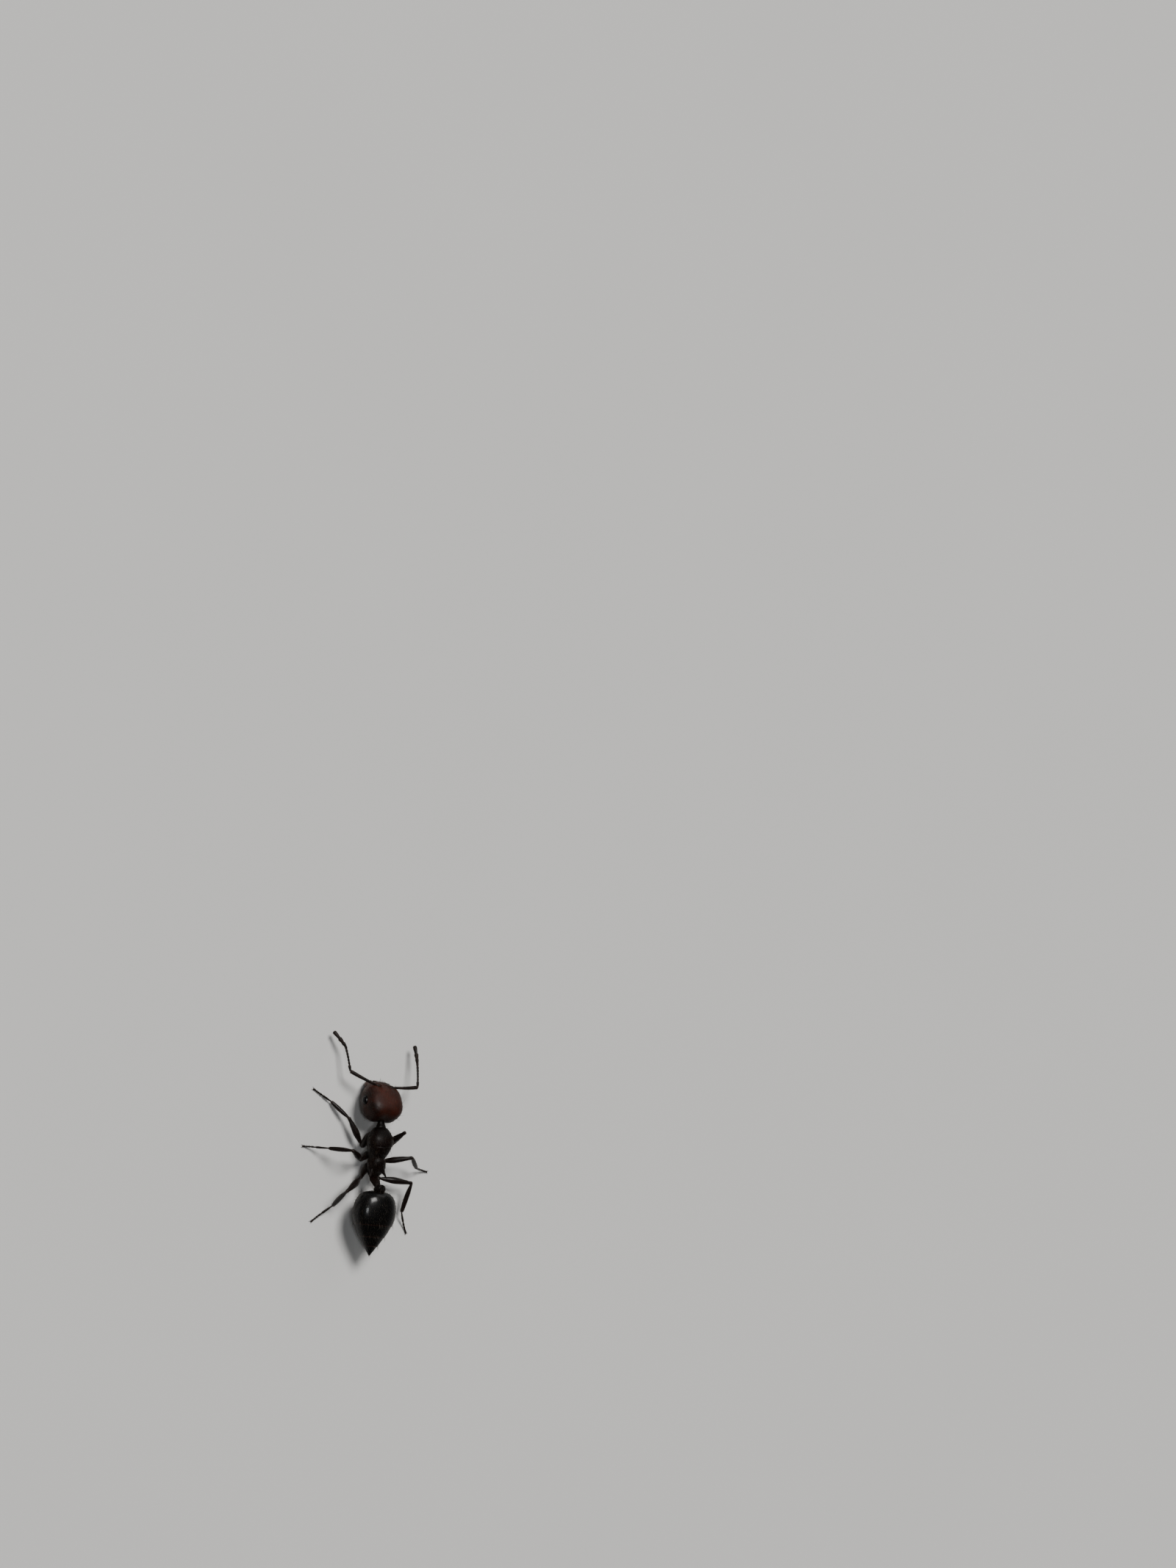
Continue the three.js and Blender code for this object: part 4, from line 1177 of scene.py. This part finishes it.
def aimed(name, data, place, turn):
    """Puts a lamp or a camera into the scene at a place, turned by a quaternion."""
    thing = new_object(name, data)
    thing.rotation_mode = "QUATERNION"
    thing.location, thing.rotation_quaternion = place, turn
    return thing


def lamp(name, direction, size, power, tint):
    """A square soft light that faces the ant from a direction in the frame."""
    data = bpy.data.lights.new(name, "AREA")
    data.size, data.energy, data.color = size, power, tint
    aim = Vector(direction).normalized()
    aimed(name, data, aim * LAMP_DISTANCE, aim.to_track_quat("Z", "Y"))


def lights():
    """A soft window high ahead, a weaker one low ahead, and a small lamp above the left."""
    lamp("window", (0.09, -0.54, 1.0), size=0.7, power=37, tint=(1.0, 0.99, 0.97))
    lamp("front", (-0.46, -0.79, 0.45), size=1.0, power=4, tint=(1.0, 0.98, 0.95))
    lamp("left", (0.44, 0.03, 0.9), size=0.25, power=4.5, tint=(0.95, 0.98, 1.0))


def pale_room():
    """A room that dims towards its ceiling, with a backdrop as pale as the floor."""
    world = bpy.data.worlds.new("pale_room")
    world.use_nodes = True
    tree = world.node_tree
    tree.nodes.clear()
    way = add(tree, "ShaderNodeTexCoord")
    height = add(tree, "ShaderNodeSeparateXYZ", links={"Vector": way.outputs["Generated"]})
    walls = add(tree, "ShaderNodeMapRange", {"interpolation_type": "SMOOTHSTEP", "From Min": -0.05,
                                             "From Max": 0.55, "To Min": 0.3, "To Max": 0.045},
                {"Value": height.outputs["Z"]})
    dim = add(tree, "ShaderNodeBackground", {"Color": ROOM_LIGHT}, {"Strength": walls})
    backdrop = add(tree, "ShaderNodeBackground", {"Color": colour("backdrop"), "Strength": 1.35})
    ray = add(tree, "ShaderNodeLightPath")
    seen = add(tree, "ShaderNodeMixShader",
               links={0: ray.outputs["Is Camera Ray"], 1: dim, 2: backdrop})
    add(tree, "ShaderNodeOutputWorld", links={"Surface": seen})
    bpy.context.scene.world = world


def camera():
    """Looks down from the ant's left, with the ant low and to the left of the middle."""
    lens, sensor = 100.0, 36.0
    tilt, lean = math.radians(32), math.radians(5.7)
    depth = 0.1242  # metres from the ant
    left, below = 0.13416, 0.23505  # the ant from the middle, in shares of the picture's height
    towards = Vector((math.sin(tilt), 0, math.cos(tilt)))
    level, ahead = Vector((-math.cos(tilt), 0, math.sin(tilt))), Vector((0, -1, 0))
    right = level * math.cos(lean) + ahead * math.sin(lean)
    up = ahead * math.cos(lean) - level * math.sin(lean)
    straight = Matrix((right, up, towards)).transposed()
    sight = Vector((-left * sensor / lens, -below * sensor / lens, -1))
    swing = Vector((0, 0, -1)).rotation_difference(sight.normalized())
    data = bpy.data.cameras.new("camera")
    data.lens, data.sensor_width, data.sensor_fit = lens, sensor, "AUTO"
    data.clip_start, data.clip_end = 0.005, 10
    target = Vector((FRAME_ZERO[0], FRAME_ZERO[1], 0.75 * MM))
    bpy.context.scene.camera = aimed("camera", data, target + towards * depth * sight.length,
                                     straight.to_quaternion() @ swing.inverted())


camera()
floor()
lights()
pale_room()
head()
trunk()
petiole()
postpetiole()
for plate in range(4):
    gaster_plate(plate)
for pair in LEGS:
    for name in SIDES:
        leg(pair, name)
head_hair()
trunk_hair()
gaster_hair()
leg_hair()
feeler_hair()
